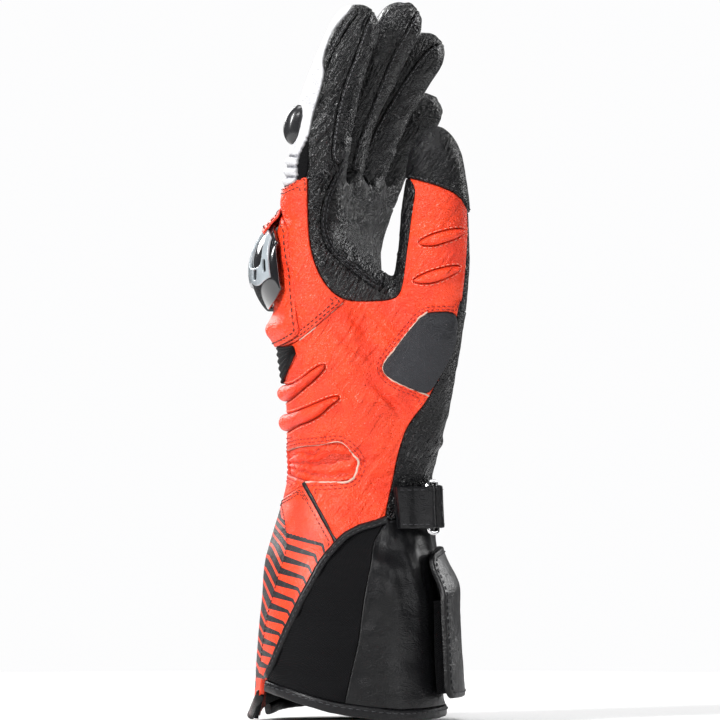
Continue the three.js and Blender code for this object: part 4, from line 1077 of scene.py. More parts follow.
def make_mesh(name, points, faces, values=None, smooth_angle=50):
    """A mesh object. faces is an array of triangles or quads, or a list of such arrays."""
    faces = faces if isinstance(faces, list) else [faces]
    faces = [np.asarray(f) for f in faces if len(f)]
    mesh = bpy.data.meshes.new(name)
    mesh.vertices.add(len(points))
    mesh.vertices.foreach_set("co", (np.asarray(points) * MM).astype(np.float32).ravel())
    loops = np.concatenate([f.ravel() for f in faces])
    sizes = np.concatenate([np.full(len(f), f.shape[1]) for f in faces])
    mesh.loops.add(len(loops))
    mesh.loops.foreach_set("vertex_index", loops.astype(np.int32))
    mesh.polygons.add(len(sizes))
    starts = np.concatenate([[0], np.cumsum(sizes)[:-1]])
    mesh.polygons.foreach_set("loop_start", starts.astype(np.int32))
    mesh.polygons.foreach_set("loop_total", sizes.astype(np.int32))
    mesh.update(calc_edges=True)
    mesh.validate()
    for key, value in (values or {}).items():
        attribute = mesh.attributes.new(key, "FLOAT", "POINT")
        attribute.data.foreach_set("value", np.asarray(value).astype(np.float32))
    mesh.polygons.foreach_set("use_smooth", np.ones(len(mesh.polygons), bool))
    mesh.set_sharp_from_angle(angle=math.radians(smooth_angle))
    made = bpy.data.objects.new(name, mesh)
    bpy.context.scene.collection.objects.link(made)
    return made


def rim_distance(skin, reach=14.0):
    """How far each vertex lies from the skin's own edge."""
    edges = boundary_edges(skin.triangles)
    if not len(edges):
        return np.full(len(skin.points), reach)
    a, b = skin.points[edges[:, 0]], skin.points[edges[:, 1]]
    tree = KDTree(len(edges))
    for i, middle in enumerate((a + b) / 2):
        tree.insert(middle, i)
    tree.balance()
    k = np.array([tree.find(p)[1] for p in skin.points])
    ab = b[k] - a[k]
    t = np.clip(((skin.points - a[k]) * ab).sum(1) / np.maximum((ab ** 2).sum(1), 1e-12), 0, 1)
    return np.minimum(np.linalg.norm(skin.points - a[k] - ab * t[:, None], axis=1), reach)


def pillow(edge, width):
    """From 0 at the edge to 1 at that width inside, round."""
    t = np.clip(edge / width, 0, 1)
    return np.sqrt(np.maximum(1 - (1 - t) ** 2, 0))


EDGE_ROWS = (0.22, 0.55, 1.0)  # extra rows of vertices that make the edges round
RELIEF_FADE = 2.5


def thick_piece(name, skin, depth=1.8, lift=0.0, rounding=0.7, padding=(0.0, 4.0), relief=None, values=()):
    """A piece of leather with round edges. Returns (object, its outer skin as shown)."""
    skin.values["edge"] = rim_distance(skin)
    for level in EDGE_ROWS:
        if level < rounding * 1.6:
            skin, _ = split(skin, skin.values["edge"] - level, snap=0.03)
    edge = skin.values["edge"]
    normal = unit(skin.values["normal"])
    rise = lift - (1 - pillow(edge, rounding)) * rounding + padding[0] * pillow(edge, padding[1])
    if relief is not None:
        rise = rise + relief(skin.points, edge) * smooth_step(edge, 0, RELIEF_FADE)
    outer = skin.points + normal * rise[:, None]
    deep = skin.values[depth][:, None] if isinstance(depth, str) else depth
    below = skin.points - normal * deep
    n = len(outer)
    rim = boundary_edges(skin.triangles)
    walls = np.stack([rim[:, 1], rim[:, 0], rim[:, 0] + n, rim[:, 1] + n], 1)
    shown = {key: np.concatenate([skin.values[key], skin.values[key]]) for key in values}
    # Edge 0 on the inner face gives it and the rim walls the full painted edge shade of the leather.
    shown["edge"] = np.concatenate([edge, np.zeros(n)])
    faces = [skin.triangles, skin.triangles[:, ::-1] + n, walls]
    made = make_mesh(name, np.vstack([outer, below]), faces, shown)
    top = Skin(outer, skin.triangles, {**skin.values, "normal": vertex_normals(outer, skin.triangles)})
    return made, top


def finish_piece(made, material, replaces=()):
    made.data.materials.append(MATERIALS[material])
    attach(made, "root")
    if replaces:
        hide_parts(*replaces)
    return made


# Pieces on top of the shell


def grid_skin(points, values=None):
    """A skin over a grid of points, rows by columns, whose triangles face along columns x rows."""
    rows, columns = points.shape[:2]
    index = np.arange(rows * columns).reshape(rows, columns)
    a, b, c, d = index[:-1, :-1], index[:-1, 1:], index[1:, 1:], index[1:, :-1]
    triangles = np.vstack([np.stack([a, b, c], -1).reshape(-1, 3), np.stack([a, c, d], -1).reshape(-1, 3)])
    flat = points.reshape(-1, 3)
    skin = Skin(flat, triangles, {k: v.ravel() for k, v in (values or {}).items()})
    skin.values["normal"] = vertex_normals(flat, triangles)
    return skin


def patch_skin(surface, place, lift, columns, rows):
    """A skin over a patch of a surface. u runs against the turn's sense so that it faces outwards."""
    u, v = np.meshgrid(np.linspace(0, 1, columns + 1), np.linspace(0, 1, rows + 1))
    a, b = place(u, v)
    points = surface(a, b, lift(u, v))
    skin = grid_skin(points, {"u": u, "v": v})
    middle = surface(a, b, -8.0).reshape(-1, 3)
    facing = ((skin.points - middle) * skin.values["normal"]).sum(1)
    if facing.sum() < 0:
        skin.triangles = skin.triangles[:, ::-1]
        skin.values["normal"] = -skin.values["normal"]
    return skin


def dome(t, power=2.4, out=0.7):
    return np.maximum(0, 1 - np.abs(2 * t - 1) ** power) ** out


def smooth_line(points, looped=False, step=1.0):
    """Points along a smooth line through points, evenly spaced."""
    points = np.asarray(points, float)
    if looped:
        points = np.vstack([points[-2:], points, points[:3]])
    length = sum(np.linalg.norm(np.diff(points, axis=0), axis=1))
    line, _ = centripetal(points, max(int(length / step), 8))
    if looped:
        first = np.argmin(np.linalg.norm(line - points[2], axis=1)[: len(line) // 2])
        last = len(line) // 2 + np.argmin(np.linalg.norm(line - points[2], axis=1)[len(line) // 2:])
        line = line[first:last]
    return line


def frames_along(line, up, looped=False):
    """Directions along a line, across it and nearest to up, and square to both."""
    if looped:
        along = np.roll(line, -1, axis=0) - np.roll(line, 1, axis=0)
    else:
        along = np.gradient(line, axis=0)
    along = unit(along)
    up = np.broadcast_to(np.asarray(up, float), line.shape)
    up = unit(up - along * (up * along).sum(1)[:, None])
    return along, up, np.cross(along, up)


def tube_mesh(line, section, up, looped=False):
    """A closed skin along a line. section holds the offsets across and up of its outline, in order."""
    _, up, across = frames_along(line, up, looped)
    points = (line[:, None] + across[:, None] * section[None, :, 0, None]
              + up[:, None] * section[None, :, 1, None])
    n, m = len(line), len(section)
    flat = points.reshape(-1, 3)
    k = np.arange(m)
    quads = []
    for i in range(n if looped else n - 1):
        j = (i + 1) % n
        quads.append(np.stack([i * m + k, i * m + (k + 1) % m, j * m + (k + 1) % m, j * m + k], 1))
    triangles = []
    if not looped:
        flat = np.vstack([flat, line[0], line[-1]])
        triangles = [np.stack([np.full(m, n * m), (k + 1) % m, k], 1),
                     np.stack([np.full(m, n * m + 1), (n - 1) * m + k, (n - 1) * m + (k + 1) % m], 1)]
    return flat, [np.vstack(quads), *triangles]


def oval(width, height, sides=14, squareness=2.0):
    turn = np.arange(sides) / sides * 2 * math.pi
    across, up = (signed_power(f(turn), 2 / squareness) for f in (np.cos, np.sin))
    return np.stack([width / 2 * across, height / 2 * up], 1)


# Painted shade darkens leather near every edge; tube pieces get this edge value, so none of it shows on them.
PAST_EDGE_SHADE = 3.0  # far enough from an edge for the leather to be as light as in the middle


def tube_piece(name, line, section, up, material, replaces=(), looped=False, rough=0.0):
    flat, faces = tube_mesh(line, section, up, looped)
    if rough:
        flat = flat + jitter(flat, rough, (3.0, 3.0, 3.0), 34)
    made = make_mesh(name, flat, faces, {"edge": np.full(len(flat), PAST_EDGE_SHADE)}, 60)
    finish_piece(made, material, replaces)


def contour_lines(skin, field, shortest=6.0):
    """Lines on a skin where field is 0, as (points, normals)."""
    skin, field = split(skin, field, snap=0.02)
    pairs = edge_pairs(skin.triangles)
    on = (field[pairs] == 0).all(1)
    pairs = np.unique(np.sort(pairs[on], axis=1), axis=0)
    neighbours = {}
    for a, b in pairs.tolist():
        neighbours.setdefault(a, []).append(b)
        neighbours.setdefault(b, []).append(a)
    left = set(map(tuple, pairs.tolist()))
    lines = []
    starts = [k for k, v in neighbours.items() if len(v) == 1] + list(neighbours)
    for start in starts:
        while True:
            chain = [start]
            while True:
                here = chain[-1]
                step = next((q for q in neighbours[here] if (min(here, q), max(here, q)) in left), None)
                if step is None:
                    break
                left.discard((min(here, step), max(here, step)))
                chain.append(step)
            if len(chain) < 4:
                break
            points = skin.points[chain]
            if np.linalg.norm(np.diff(points, axis=0), axis=1).sum() > shortest:
                lines.append((points, skin.values["normal"][chain]))
    return lines


STITCHES = {}


def stitch_along(points, normals, thread, keep=None, pitch=3.0, length=2.1, radius=0.24):
    """Adds stitches along a line to that thread's list."""
    run = run_along(points)
    count = int(run[-1] / pitch)
    if count < 1:
        return
    smoothed = eased(points, 3)
    starts = (np.arange(count) + 0.5) * run[-1] / count - length / 2
    a, b = interpolated(starts, run, smoothed), interpolated(starts + length, run, smoothed)
    n = unit(interpolated(starts + length / 2, run, normals))
    mask = np.ones(count, bool) if keep is None else keep((a + b) / 2)
    STITCHES.setdefault(thread, []).append((a[mask], b[mask], n[mask], radius))


def stitch_round(top, inset, thread):
    """Stitches along the whole edge of a piece."""
    for points, normals in contour_lines(top, top.values["edge"] - inset):
        stitch_along(points, normals, thread)


def build_stitches():
    sides, sink = 5, 0.05
    turn = np.arange(sides) / sides * 2 * math.pi
    stations, radii = np.array([0.0, 0.14, 0.5, 0.86, 1.0]), np.array([0.45, 0.95, 1.0, 0.95, 0.45])
    rise = np.array([-0.25, 0.0, 0.12, 0.0, -0.25])
    m = len(stations)
    i, k = np.meshgrid(np.arange(m - 1), np.arange(sides), indexing="ij")
    for thread, groups in STITCHES.items():
        vertices, quads, caps, total = [], [], [], 0
        for a, b, n, radius in groups:
            if not len(a):
                continue
            along = b - a
            t = unit(along)
            side = unit(np.cross(t, n))
            up = np.cross(side, t)
            centre = a[:, None] + along[:, None] * stations[None, :, None] \
                + up[:, None] * (rise[None, :, None] + radius - sink)
            ring = (side[:, None, None] * np.cos(turn)[None, None, :, None]
                    + up[:, None, None] * np.sin(turn)[None, None, :, None])
            ring = ring * (radii * radius)[None, :, None, None]
            first = total + np.arange(len(a)) * m * sides
            corner = lambda r, s: first[:, None, None] + (r * sides + s % sides)[None]
            quads.append(np.stack([corner(i, k), corner(i, k + 1), corner(i + 1, k + 1), corner(i + 1, k)],
                                  -1).reshape(-1, 4))
            caps.append(first[:, None] + np.arange(sides)[::-1])
            caps.append(first[:, None] + (m - 1) * sides + np.arange(sides))
            vertices.append((centre[:, :, None] + ring).reshape(-1, 3))
            total += len(vertices[-1])
        faces = [np.vstack(quads), np.vstack(caps)]
        made = make_mesh("stitches_" + thread, np.vstack(vertices), faces, None, 80)
        finish_piece(made, "thread_" + thread)


SURFACE = {}


def make_surface(skins):
    """One tree of the outer faces of all leather pieces."""
    points, faces, total = [], [], 0
    for skin in skins:
        points.append(skin.points)
        faces.append(skin.triangles + total)
        total += len(skin.points)
    SURFACE["tree"] = BVHTree.FromPolygons(np.vstack(points).tolist(), np.vstack(faces).tolist())


def traced(units, step=0.5, side=1):
    """Points and normals where a line of the side view meets the leather, seen from either side."""
    flat = to_side(units)
    line = smooth_line(np.stack([flat[:, 0], np.zeros(len(flat)), flat[:, 1]], -1), step=step)
    points, normals = [], []
    for x, _, z in line:
        spot, normal, _, _ = SURFACE["tree"].ray_cast(Vector((x, -150 * side, z)), Vector((0, side, 0)))
        if spot is None and points:
            spot, normal = (x, points[-1][1], z), normals[-1]
        elif spot is None:
            spot, normal, _, _ = SURFACE["tree"].find_nearest(Vector((x, 0, z)))
        points.append(tuple(spot))
        normals.append(tuple(normal))
    return eased(np.array(points), 4), unit(eased(np.array(normals), 4))


def trim(name, units, width, height, material, lift=0.0, side=1, replaces=(), rough=0.0,
         squareness=2.4):
    """An edging along a line of the side view."""
    points, normals = traced(units, 0.8, side)
    line = points + normals * lift
    line = line + jitter(line, rough, (1.6, 1.6, 1.6), 95)
    tube_piece(name, line, oval(width, height, 12, squareness), normals, material, replaces)
    return points, normals


WORLD_LIGHT = 0.09
# name, place in metres, size, watts
LIGHTS = [
    ("key", (-1.3, -1.1, 1.1), (0.25, 1.1), 47),
    ("fill", (1.5, -1.1, 0.5), (0.2, 1.2), 7),
    ("front", (0.2, -2.2, 1.7), (0.8, 0.35), 21),
    ("top", (0.0, 0.1, 1.5), (0.6, 0.6), 8),
    ("behind", (-0.9, 1.6, 1.0), (0.8, 1.0), 24),
    ("behind_right", (1.4, 1.5, 0.9), (0.6, 1.0), 14),
]


def studio():
    """Floor, soft lights and an even pale surrounding."""
    level = (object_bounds()[0].z - 0.0005) / MM
    turn = np.linspace(0, 2 * math.pi, 65)
    points = np.array([[[r * math.cos(t), r * math.sin(t), level] for t in turn] for r in (0.1, 300, 650)])
    skin = grid_skin(points)
    floor = make_mesh("floor", skin.points, skin.triangles[:, ::-1], None, 30)
    g = Graph("pale_floor")
    pale = g.mix(g.noise(1 / 400), rgb((0.88, 0.88, 0.88)), rgb((0.92, 0.92, 0.92)))
    floor.data.materials.append(g.done({"Base Color": pale, "Roughness": 0.8}))
    world = bpy.data.worlds.new("surroundings")
    world.use_nodes = True
    tree = world.node_tree
    dim, seen = tree.nodes["Background"], tree.nodes.new("ShaderNodeBackground")
    dim.inputs[0].default_value = (0.95, 0.97, 1.0, 1)
    dim.inputs[1].default_value = WORLD_LIGHT
    seen.inputs[0].default_value = (0.98, 0.98, 0.985, 1)
    seen.inputs[1].default_value = 1.0
    path, mixed = tree.nodes.new("ShaderNodeLightPath"), tree.nodes.new("ShaderNodeMixShader")
    for i, socket in enumerate((path.outputs["Is Camera Ray"], dim.outputs[0], seen.outputs[0])):
        tree.links.new(socket, mixed.inputs[i])
    tree.links.new(mixed.outputs[0], tree.nodes["World Output"].inputs[0])
    bpy.context.scene.world = world
    for name, place, size, watts in LIGHTS:
        light = bpy.data.lights.new(name, "AREA")
        light.shape, light.size, light.size_y, light.energy = "RECTANGLE", *size, watts
        made = bpy.data.objects.new(name, light)
        made.location = place
        made.rotation_euler = (Vector((0, 0, 0.16)) - Vector(place)).to_track_quat("-Z", "Y").to_euler()
        bpy.context.scene.collection.objects.link(made)
    bpy.context.scene.view_settings.view_transform = "Standard"


# Knuckle guards, straps and edging

SEAM = 0.3
REST = 0.45
GUARD_HEIGHT, GUARD_LENGTH, GUARD_WALL = 8, 41, 1.8
FRAME_WALL = 1.0
SURROUND_LENGTH, SURROUND_WALL, SURROUND_PADDING = 60, 1.4, 4.2
GUARD_LOW, SURROUND_LOW = float(height_of(2.568)), float(height_of(2.445))
STRAP_WIDTH, STRAP_THICKNESS, LOOP_WIRE, LOOP_OPENING = 19, 1.7, 2.2, 7
FLAP_HEIGHT, FLAP_THICKNESS, HOOK_PAD_THICKNESS = 67, 2.8, 6
FLAP_LOW = float(height_of(0.13))
HEM_WIDTH = 4.2


def turns(low, high):
    return lambda u: np.radians(low + (high - low) * u)


def fine(count):
    return count


def laid_piece(name, skin, depth, rounding, material, relief=None, replaced=True):
    """A piece made of a patch. Returns its outer skin."""
    made, top = thick_piece(name, skin, depth, 0.0, rounding, relief=relief)
    finish_piece(made, material, (name,) if replaced else ())
    return top


def body_patch(place, lift, columns, rows):
    return patch_skin(body_point, place, lift, fine(columns), fine(rows))


def surround_folds(p, edge):
    return 0.25 * noise(p, (4, 6, 3), 21) + 0.3 * noise(p, 9.0, 22)


def knuckle_surround():
    def place(u, v):
        low = SURROUND_LOW + 0.12 * SURROUND_LENGTH * (1 - dome(u))
        high = SURROUND_LOW + SURROUND_LENGTH * (0.86 + 0.14 * dome(u))
        return low + (high - low) * v, turns(-56, 62)(u)

    def lift(u, v):
        padding = SURROUND_PADDING * np.exp(-(((v - 0.13) / 0.09) ** 2))
        slope = smooth_step(np.minimum(u, 1 - u), 0.0, 0.12)
        return 2 * SEAM + SURROUND_WALL * (0.35 + 0.65 * slope) + padding * dome(u)

    skin = body_patch(place, lift, 112, 66)
    top = laid_piece("knuckle_surround", skin, 0.9, 0.7, "orange", surround_folds)
    stitch_round(top, 2.2, "dark")


def guard_place(u, v):
    length = GUARD_LENGTH * (0.5 + 0.5 * dome(u))
    return GUARD_LOW + (GUARD_LENGTH - length) / 2 + v * length, turns(-46, 50)(u)


def guard_lift(u, v):
    rise = np.abs(np.sin(math.pi * np.clip(v, 0, 1) ** 0.92)) ** 0.85
    return 5 * SEAM + SURROUND_WALL + GUARD_HEIGHT * dome(u) * rise


def knuckle_guard():
    skin = body_patch(guard_place, lambda u, v: guard_lift(u, v) + GUARD_WALL, 110, 46)
    laid_piece("knuckle_guard", skin, GUARD_WALL, 0.5, "carbon")


def slot_field(u, v, middle, width, low, high, slant=0.0):
    """Above 0 inside a slot of the guard, in shares of its spans."""
    across = (u - middle - slant * (v - (low + high) / 2)) / (width / 2)
    up = (v - (low + high) / 2) / ((high - low) / 2)
    return 1 - (np.abs(across) ** 3.2 + np.abs(up) ** 3.2) ** (1 / 3.2)


def knuckle_frame():
    inset = lambda t, margin: margin + t * (1 - 2 * margin)
    top = lambda u, v: guard_lift(inset(u, 0.05), inset(v, 0.04)) + GUARD_WALL + 0.25 + FRAME_WALL
    skin = body_patch(lambda u, v: guard_place(inset(u, 0.05), inset(v, 0.04)), top, 184, 90)
    u, v = skin.values["u"], skin.values["v"]
    slots = [(0.2 + 0.3 * i, 0.235, 0.48, 0.94) for i in range(3)]
    slots += [(0.2 + 0.3 * i + 0.015, 0.07, 0.31, 0.45, 0.2) for i in range(3)]
    slots += [(0.05 + 0.3 * i, 0.035, 0.4, 0.6) for i in range(4)]
    solid = [-slot_field(u, v, *row) for row in slots]
    scallops = (v - 0.26 - 0.03 * np.cos(u * 6 * math.pi)) * 30
    border = np.minimum(np.minimum(u, 1 - u) * 30, np.minimum(v, 1 - v) * 30) + 0.02
    skin, _ = cut_skin(skin, np.minimum.reduce([scallops, *solid, border]))
    laid_piece("knuckle_frame", skin, FRAME_WALL, 0.45, "moulded")


def guard_flap():
    """The lip of the panel that covers the guard's top edge."""
    spot = lambda u, v: (0.16 + 0.68 * u, 0.91 + 0.26 * v)

    def lift(u, v):
        down = smooth_step(v, 0.3, 1)
        over_guard = guard_lift(*spot(u, v)) + GUARD_WALL + FRAME_WALL + 0.5
        return over_guard * (1 - down) + (SURROUND_WALL + 1.2) * down + 1.0

    skin = body_patch(lambda u, v: guard_place(*spot(u, v)), lift, 100, 24)
    top = laid_piece("guard_top_flap", skin, 0.9, 0.6, "orange", surround_folds,
                     replaced=False)
    stitch_round(top, 1.8, "dark")


def finger_guards():
    middle, half_length, height = 0.37, 17 / 2, 4.8
    for name, tube in list(TUBES.items())[:3]:
        half = half_length / tube.length
        place = lambda u, v: (middle + (2 * v - 1) * half * (0.35 + 0.65 * dome(u)), turns(-7, 40)(u))
        lift = lambda u, v: REST + 0.4 + height * dome(u) * dome(v)
        skin = patch_skin(tube.point, place, lift, fine(50), fine(50))
        laid_piece(name + "_finger_guard", skin, 0.5, 0.3, "guard")


def stretch_band():
    place = lambda u, v: (SURROUND_LOW - (1 - v) * 16 * (1 - 0.85 * (2 * u - 1) ** 2), turns(-50, 50)(u))
    lift = lambda u, v: REST + 1.4 + 0.35 * np.cos(v * 2 * math.pi * 5)
    laid_piece("stretch_band", body_patch(place, lift, 96, 40), 1.2, 0.4, "rubber")


# The strap, its loop and the flap

STRAP_HEIGHT = float(height_of(1.5))
LOOP_TURN = math.radians(149)
BEND_RADIUS = LOOP_WIRE / 2 + 1.5 * SEAM + STRAP_THICKNESS / 2
UNDER = 2 * SEAM + STRAP_THICKNESS / 2
OVER = UNDER + STRAP_THICKNESS + SEAM
LOOP_LIFT = UNDER + BEND_RADIUS


def strap_spot(turn, lift):
    low = body_point(STRAP_HEIGHT - STRAP_WIDTH / 2, turn, lift)
    high = body_point(STRAP_HEIGHT + STRAP_WIDTH / 2, turn, lift)
    return (low + high) / 2, (high - low) / np.linalg.norm(high - low)


LOOP_MIDDLE, LOOP_UP = strap_spot(LOOP_TURN, LOOP_LIFT)
LOOP_ACROSS = body_point(STRAP_HEIGHT, LOOP_TURN + 0.01) - body_point(STRAP_HEIGHT, LOOP_TURN)
LOOP_ACROSS = LOOP_ACROSS / np.linalg.norm(LOOP_ACROSS)
LOOP_OUT = np.cross(LOOP_ACROSS, LOOP_UP)


def layer(low, high):
    steps = math.ceil(abs(high - low) / 10)
    return [math.radians(low + (high - low) * i / steps) for i in range(steps + 1)]


def hairpin(name, side, under_turns, over_turns):
    """A strap that comes in under the loop's bar, bends around it and lies back on itself."""
    bar = LOOP_MIDDLE + LOOP_ACROSS * side * (LOOP_OPENING + LOOP_WIRE) / 2
    route = [strap_spot(t, UNDER) for t in under_turns[::-1]]
    for degrees in (-90, -60, -30, 0, 30, 60, 90):
        t = math.radians(degrees)
        bend = bar - LOOP_ACROSS * side * BEND_RADIUS * math.cos(t) + LOOP_OUT * BEND_RADIUS * math.sin(t)
        route.append((bend, LOOP_UP))
    route += [strap_spot(t, OVER + (1.2 if i == 0 else 0)) for i, t in enumerate(over_turns)]
    points, ups = np.array([r[0] for r in route]), np.array([r[1] for r in route])
    line, _ = centripetal(points, 160)
    run = run_along(points)
    up = interpolated(np.linspace(0, run[-1], len(line)), run, ups)
    tube_piece(name, line, oval(STRAP_THICKNESS, STRAP_WIDTH, 28, 7.0), up, "strap", (name,))
    _, up, across = frames_along(line, up)
    outward = across * np.sign((across * LOOP_OUT).sum(1))[len(line) * 3 // 4]
    upper = slice(int(len(line) * 0.62), len(line) - 3)
    for offset in (-0.5, 0.5):
        edge = line + up * offset * (STRAP_WIDTH - 3.4) + outward * STRAP_THICKNESS / 2
        stitch_along(edge[upper], outward[upper], "grey")


def strap_loop():
    a, b = (LOOP_OPENING + LOOP_WIRE) / 2, (STRAP_WIDTH + LOOP_WIRE) / 2 + 3 * SEAM
    straight = b - 0.45 * a
    quarter = [(1, 0.35 * straight), (1, 0.9 * straight), (0.9, b - 0.12 * a), (0.45, b)]
    half = quarter + [(-u, v) for u, v in quarter[::-1]]
    corners = half + [(-u, -v) for u, v in half]
    points = [LOOP_MIDDLE + LOOP_ACROSS * u * a + LOOP_UP * v for u, v in corners]
    line = smooth_line(points, True, 0.8)
    tube_piece("strap_loop", line, oval(LOOP_WIRE, LOOP_WIRE), LOOP_OUT, "steel",
               ("strap_loop",), True)


def flap_lift(v):
    return REST + HOOK_PAD_THICKNESS * smooth_step(1 - v, 0.02, 0.3) + SEAM


def closure_flap():
    place = lambda u, v: (FLAP_LOW + v * FLAP_HEIGHT * (0.94 + 0.06 * dome(u)), turns(146, 222)(u))
    wave = lambda u, v: 0.5 * np.sin(v * 7 + 2 * u) * np.sin(math.pi * v)
    skin = body_patch(place, lambda u, v: flap_lift(v) + FLAP_THICKNESS + wave(u, v), 80, 80)
    corner = 0.09
    across, up = (np.maximum(corner - np.minimum(skin.values[k], 1 - skin.values[k]), 0) for k in "uv")
    skin, _ = cut_skin(skin, (corner - np.hypot(across, up)) * 60)
    top = laid_piece("closure_flap", skin, FLAP_THICKNESS - 0.4, 0.9, "satin", wrinkles)
    stitch_round(top, 2.4, "grey")


def hook_pad():
    share = 0.62
    place = lambda u, v: (FLAP_LOW + 2 + v * share * FLAP_HEIGHT, turns(152, 208)(u))
    lift = lambda v: flap_lift((v * share * FLAP_HEIGHT + 2) / FLAP_HEIGHT)
    skin = body_patch(place, lambda u, v: lift(v) - 3 * SEAM, 50, 50)
    skin.values["depth"] = lift(skin.values["v"]) - 6 * SEAM
    laid_piece("closure_hook_pad", skin, "depth", 0.4, "hook", None)


def side_point(across, level, side, lift):
    turn = np.arccos(-signed_power(np.clip(across, -1, 1), SQUARENESS / 2))
    return body_point(height_of(level), side * turn, lift)


def hem():
    shares = [-0.88, -0.75, -0.5, -0.2, 0.15, 0.5, 0.8, 0.95, 1]
    drop = (HEM_WIDTH / 2 + 2 * SEAM) / CUFF_LENGTH
    near, far = ([side_point(a, float(hem_level(a, side)) - drop, side, -1.0) for a in shares]
                 for side in (1, -1))
    line = smooth_line(near + far[::-1][1:], step=1.2)
    line = line + jitter(line, 0.25, (7.0, 7.0, 9.0), 31)
    tube_piece("cuff_hem", line, oval(3.4, 5.2, 22, 3.2), (0, 0, 1), "strap", ("cuff_hem",),
               rough=0.12)
    _, up, across = frames_along(line, (0, 0, 1))
    outward = across * np.sign((across * (line - [-2, 0, 0]) * [1, 1, 0]).sum(1))[:, None]
    stitch_along(line + outward * 1.75 + up * 0.9, outward, "grey", pitch=3.4)


def piping(name, side):
    far_line = np.insert(from_levels([(-0.1, 1.12), *DIAGONAL, (-0.99, 0.0)]), 1, 0, 1)
    units = PIPED if side > 0 else to_units(far_line)
    points, normals = trim(name, units, 4.1, 3.7, "strap", 0.3, side, (name,), 0.12, 2.0)
    inward = unit(np.cross(normals, np.gradient(points, axis=0)))
    inward *= np.sign(inward[:, :1])
    stitch_along(points - inward * 1.1 + normals * 1.55, normals, "grey", pitch=2.6, length=1.8, radius=0.2)


# Folds of the leather


def rolled(degrees):
    t = math.radians(degrees)
    return np.array([[math.cos(t), 0, math.sin(t)], [0, 1, 0], [-math.sin(t), 0, math.cos(t)]])


def ridged(p, size, seed):
    """Sharp little valleys between soft swellings."""
    return 1 - 2 * np.sqrt(np.abs(noise(p, size, seed)))


def within(p, low_u, high_u, low_v, high_v, soft=8.0):
    """A soft mask over a rectangle of the side view."""
    u, v = to_units(p).T
    return (plateau(u, low_u - soft, low_u + soft, high_u - soft, high_u + soft)
            * plateau(v, low_v - soft, low_v + soft, high_v - soft, high_v + soft))


def wrinkles(p, edge):
    """Soft unevenness of filled leather."""
    slow = noise(p, 15.0, 1) * 0.35
    folds = noise(p @ rolled(40), (3.4, 9.0, 9.0), 2)
    return slow + 0.2 * folds * smooth_step(noise(p, 24.0, 3), -0.3, 0.5) + 0.08 * noise(p, 2.4, 4)


def orange_folds(p, edge):
    across = noise(p @ rolled(-42), (3.0, 14.0, 16.0), 51)
    web = within(p, 338, 420, 318, 420, 16) * 1.2
    wrist = within(p, 300, 400, 425, 520, 14)
    level = noise(p @ rolled(80), (2.8, 12.0, 12.0), 52)
    thumb = within(p, 425, 465, 200, 310)
    lines = ridged(p @ rolled(-38), (2.4, 9.0, 11.0), 53) * smooth_step(noise(p, 19.0, 54), -0.5, 0.4)
    return (wrinkles(p, edge) + 1.0 * across * web + 0.55 * level * wrist + 0.3 * level * thumb
            + 0.22 * lines * (0.4 + web + wrist))


def finger_folds(p, edge):
    """Sloping creases where the fingers bend."""
    creases = noise(p @ rolled(52), (2.2, 10.0, 9.0), 61)
    deep = smooth_step(noise(p, 17.0, 62), -0.4, 0.3)
    root = within(p, 300, 345, 95, 205, 14)
    lines = ridged(p @ rolled(48), (1.9, 7.0, 8.0), 63)
    return wrinkles(p, edge) + (0.45 * deep + 0.5 * root) * creases + (0.15 * deep + 0.4 * root) * lines


def cuff_folds(p, edge):
    upright = noise(p @ rolled(-8), (5.0, 6.0, 30.0), 71)
    level = noise(p, (22.0, 22.0, 6.0), 72)
    gathered = plateau(to_units(p)[:, 1], 505, 530, 560, 640)
    slow = noise(p, 18.0, 73) * 0.4
    return slow + 1.5 * upright * gathered + 0.6 * level + 0.06 * noise(p, 2.6, 74)


def palm_folds(p, edge):
    level = noise(p @ rolled(8), (14.0, 14.0, 4.5), 81)
    wrist = plateau(to_units(p)[:, 1], 400, 440, 490, 515)
    return wrinkles(p, edge) + (0.25 + 0.6 * wrist) * level


def gathered_folds(p, edge):
    """Folds that spread from the window's left end."""
    u, v = to_units(p).T
    turn = np.arctan2(v - 464, u - 268)
    return 1.1 * np.cos(turn * 26 + 3.5 * noise(p, 8.0, 91)) * smooth_step(edge, 0.5, 3)


def gap_of(v):
    """Near 1 in the gaps between the ribs."""
    return (0.5 + 0.5 * np.cos(2 * math.pi * (v - 158) / 10.5)) * smooth_step(v, 152, 157)


def ribs(p, edge):
    """The three ribs at the root of the index finger's back."""
    v = to_units(p)[:, 1]
    here = smooth_step(v, 152, 160)
    return wrinkles(p, edge) * (1 - here) + here * (0.9 - 1.9 * gap_of(v) ** 2)


def textile_folds(p, edge):
    level = noise(p @ rolled(14), (30.0, 26.0, 5.0), 75)
    return 1.0 * level + 0.3 * noise(p, 11.0, 76)


# The leather pieces

UNPADDED = (0, 4)
WRIST_BAR, THUMB_BAR = (3.6, 4.2), (2.8, 3.2)
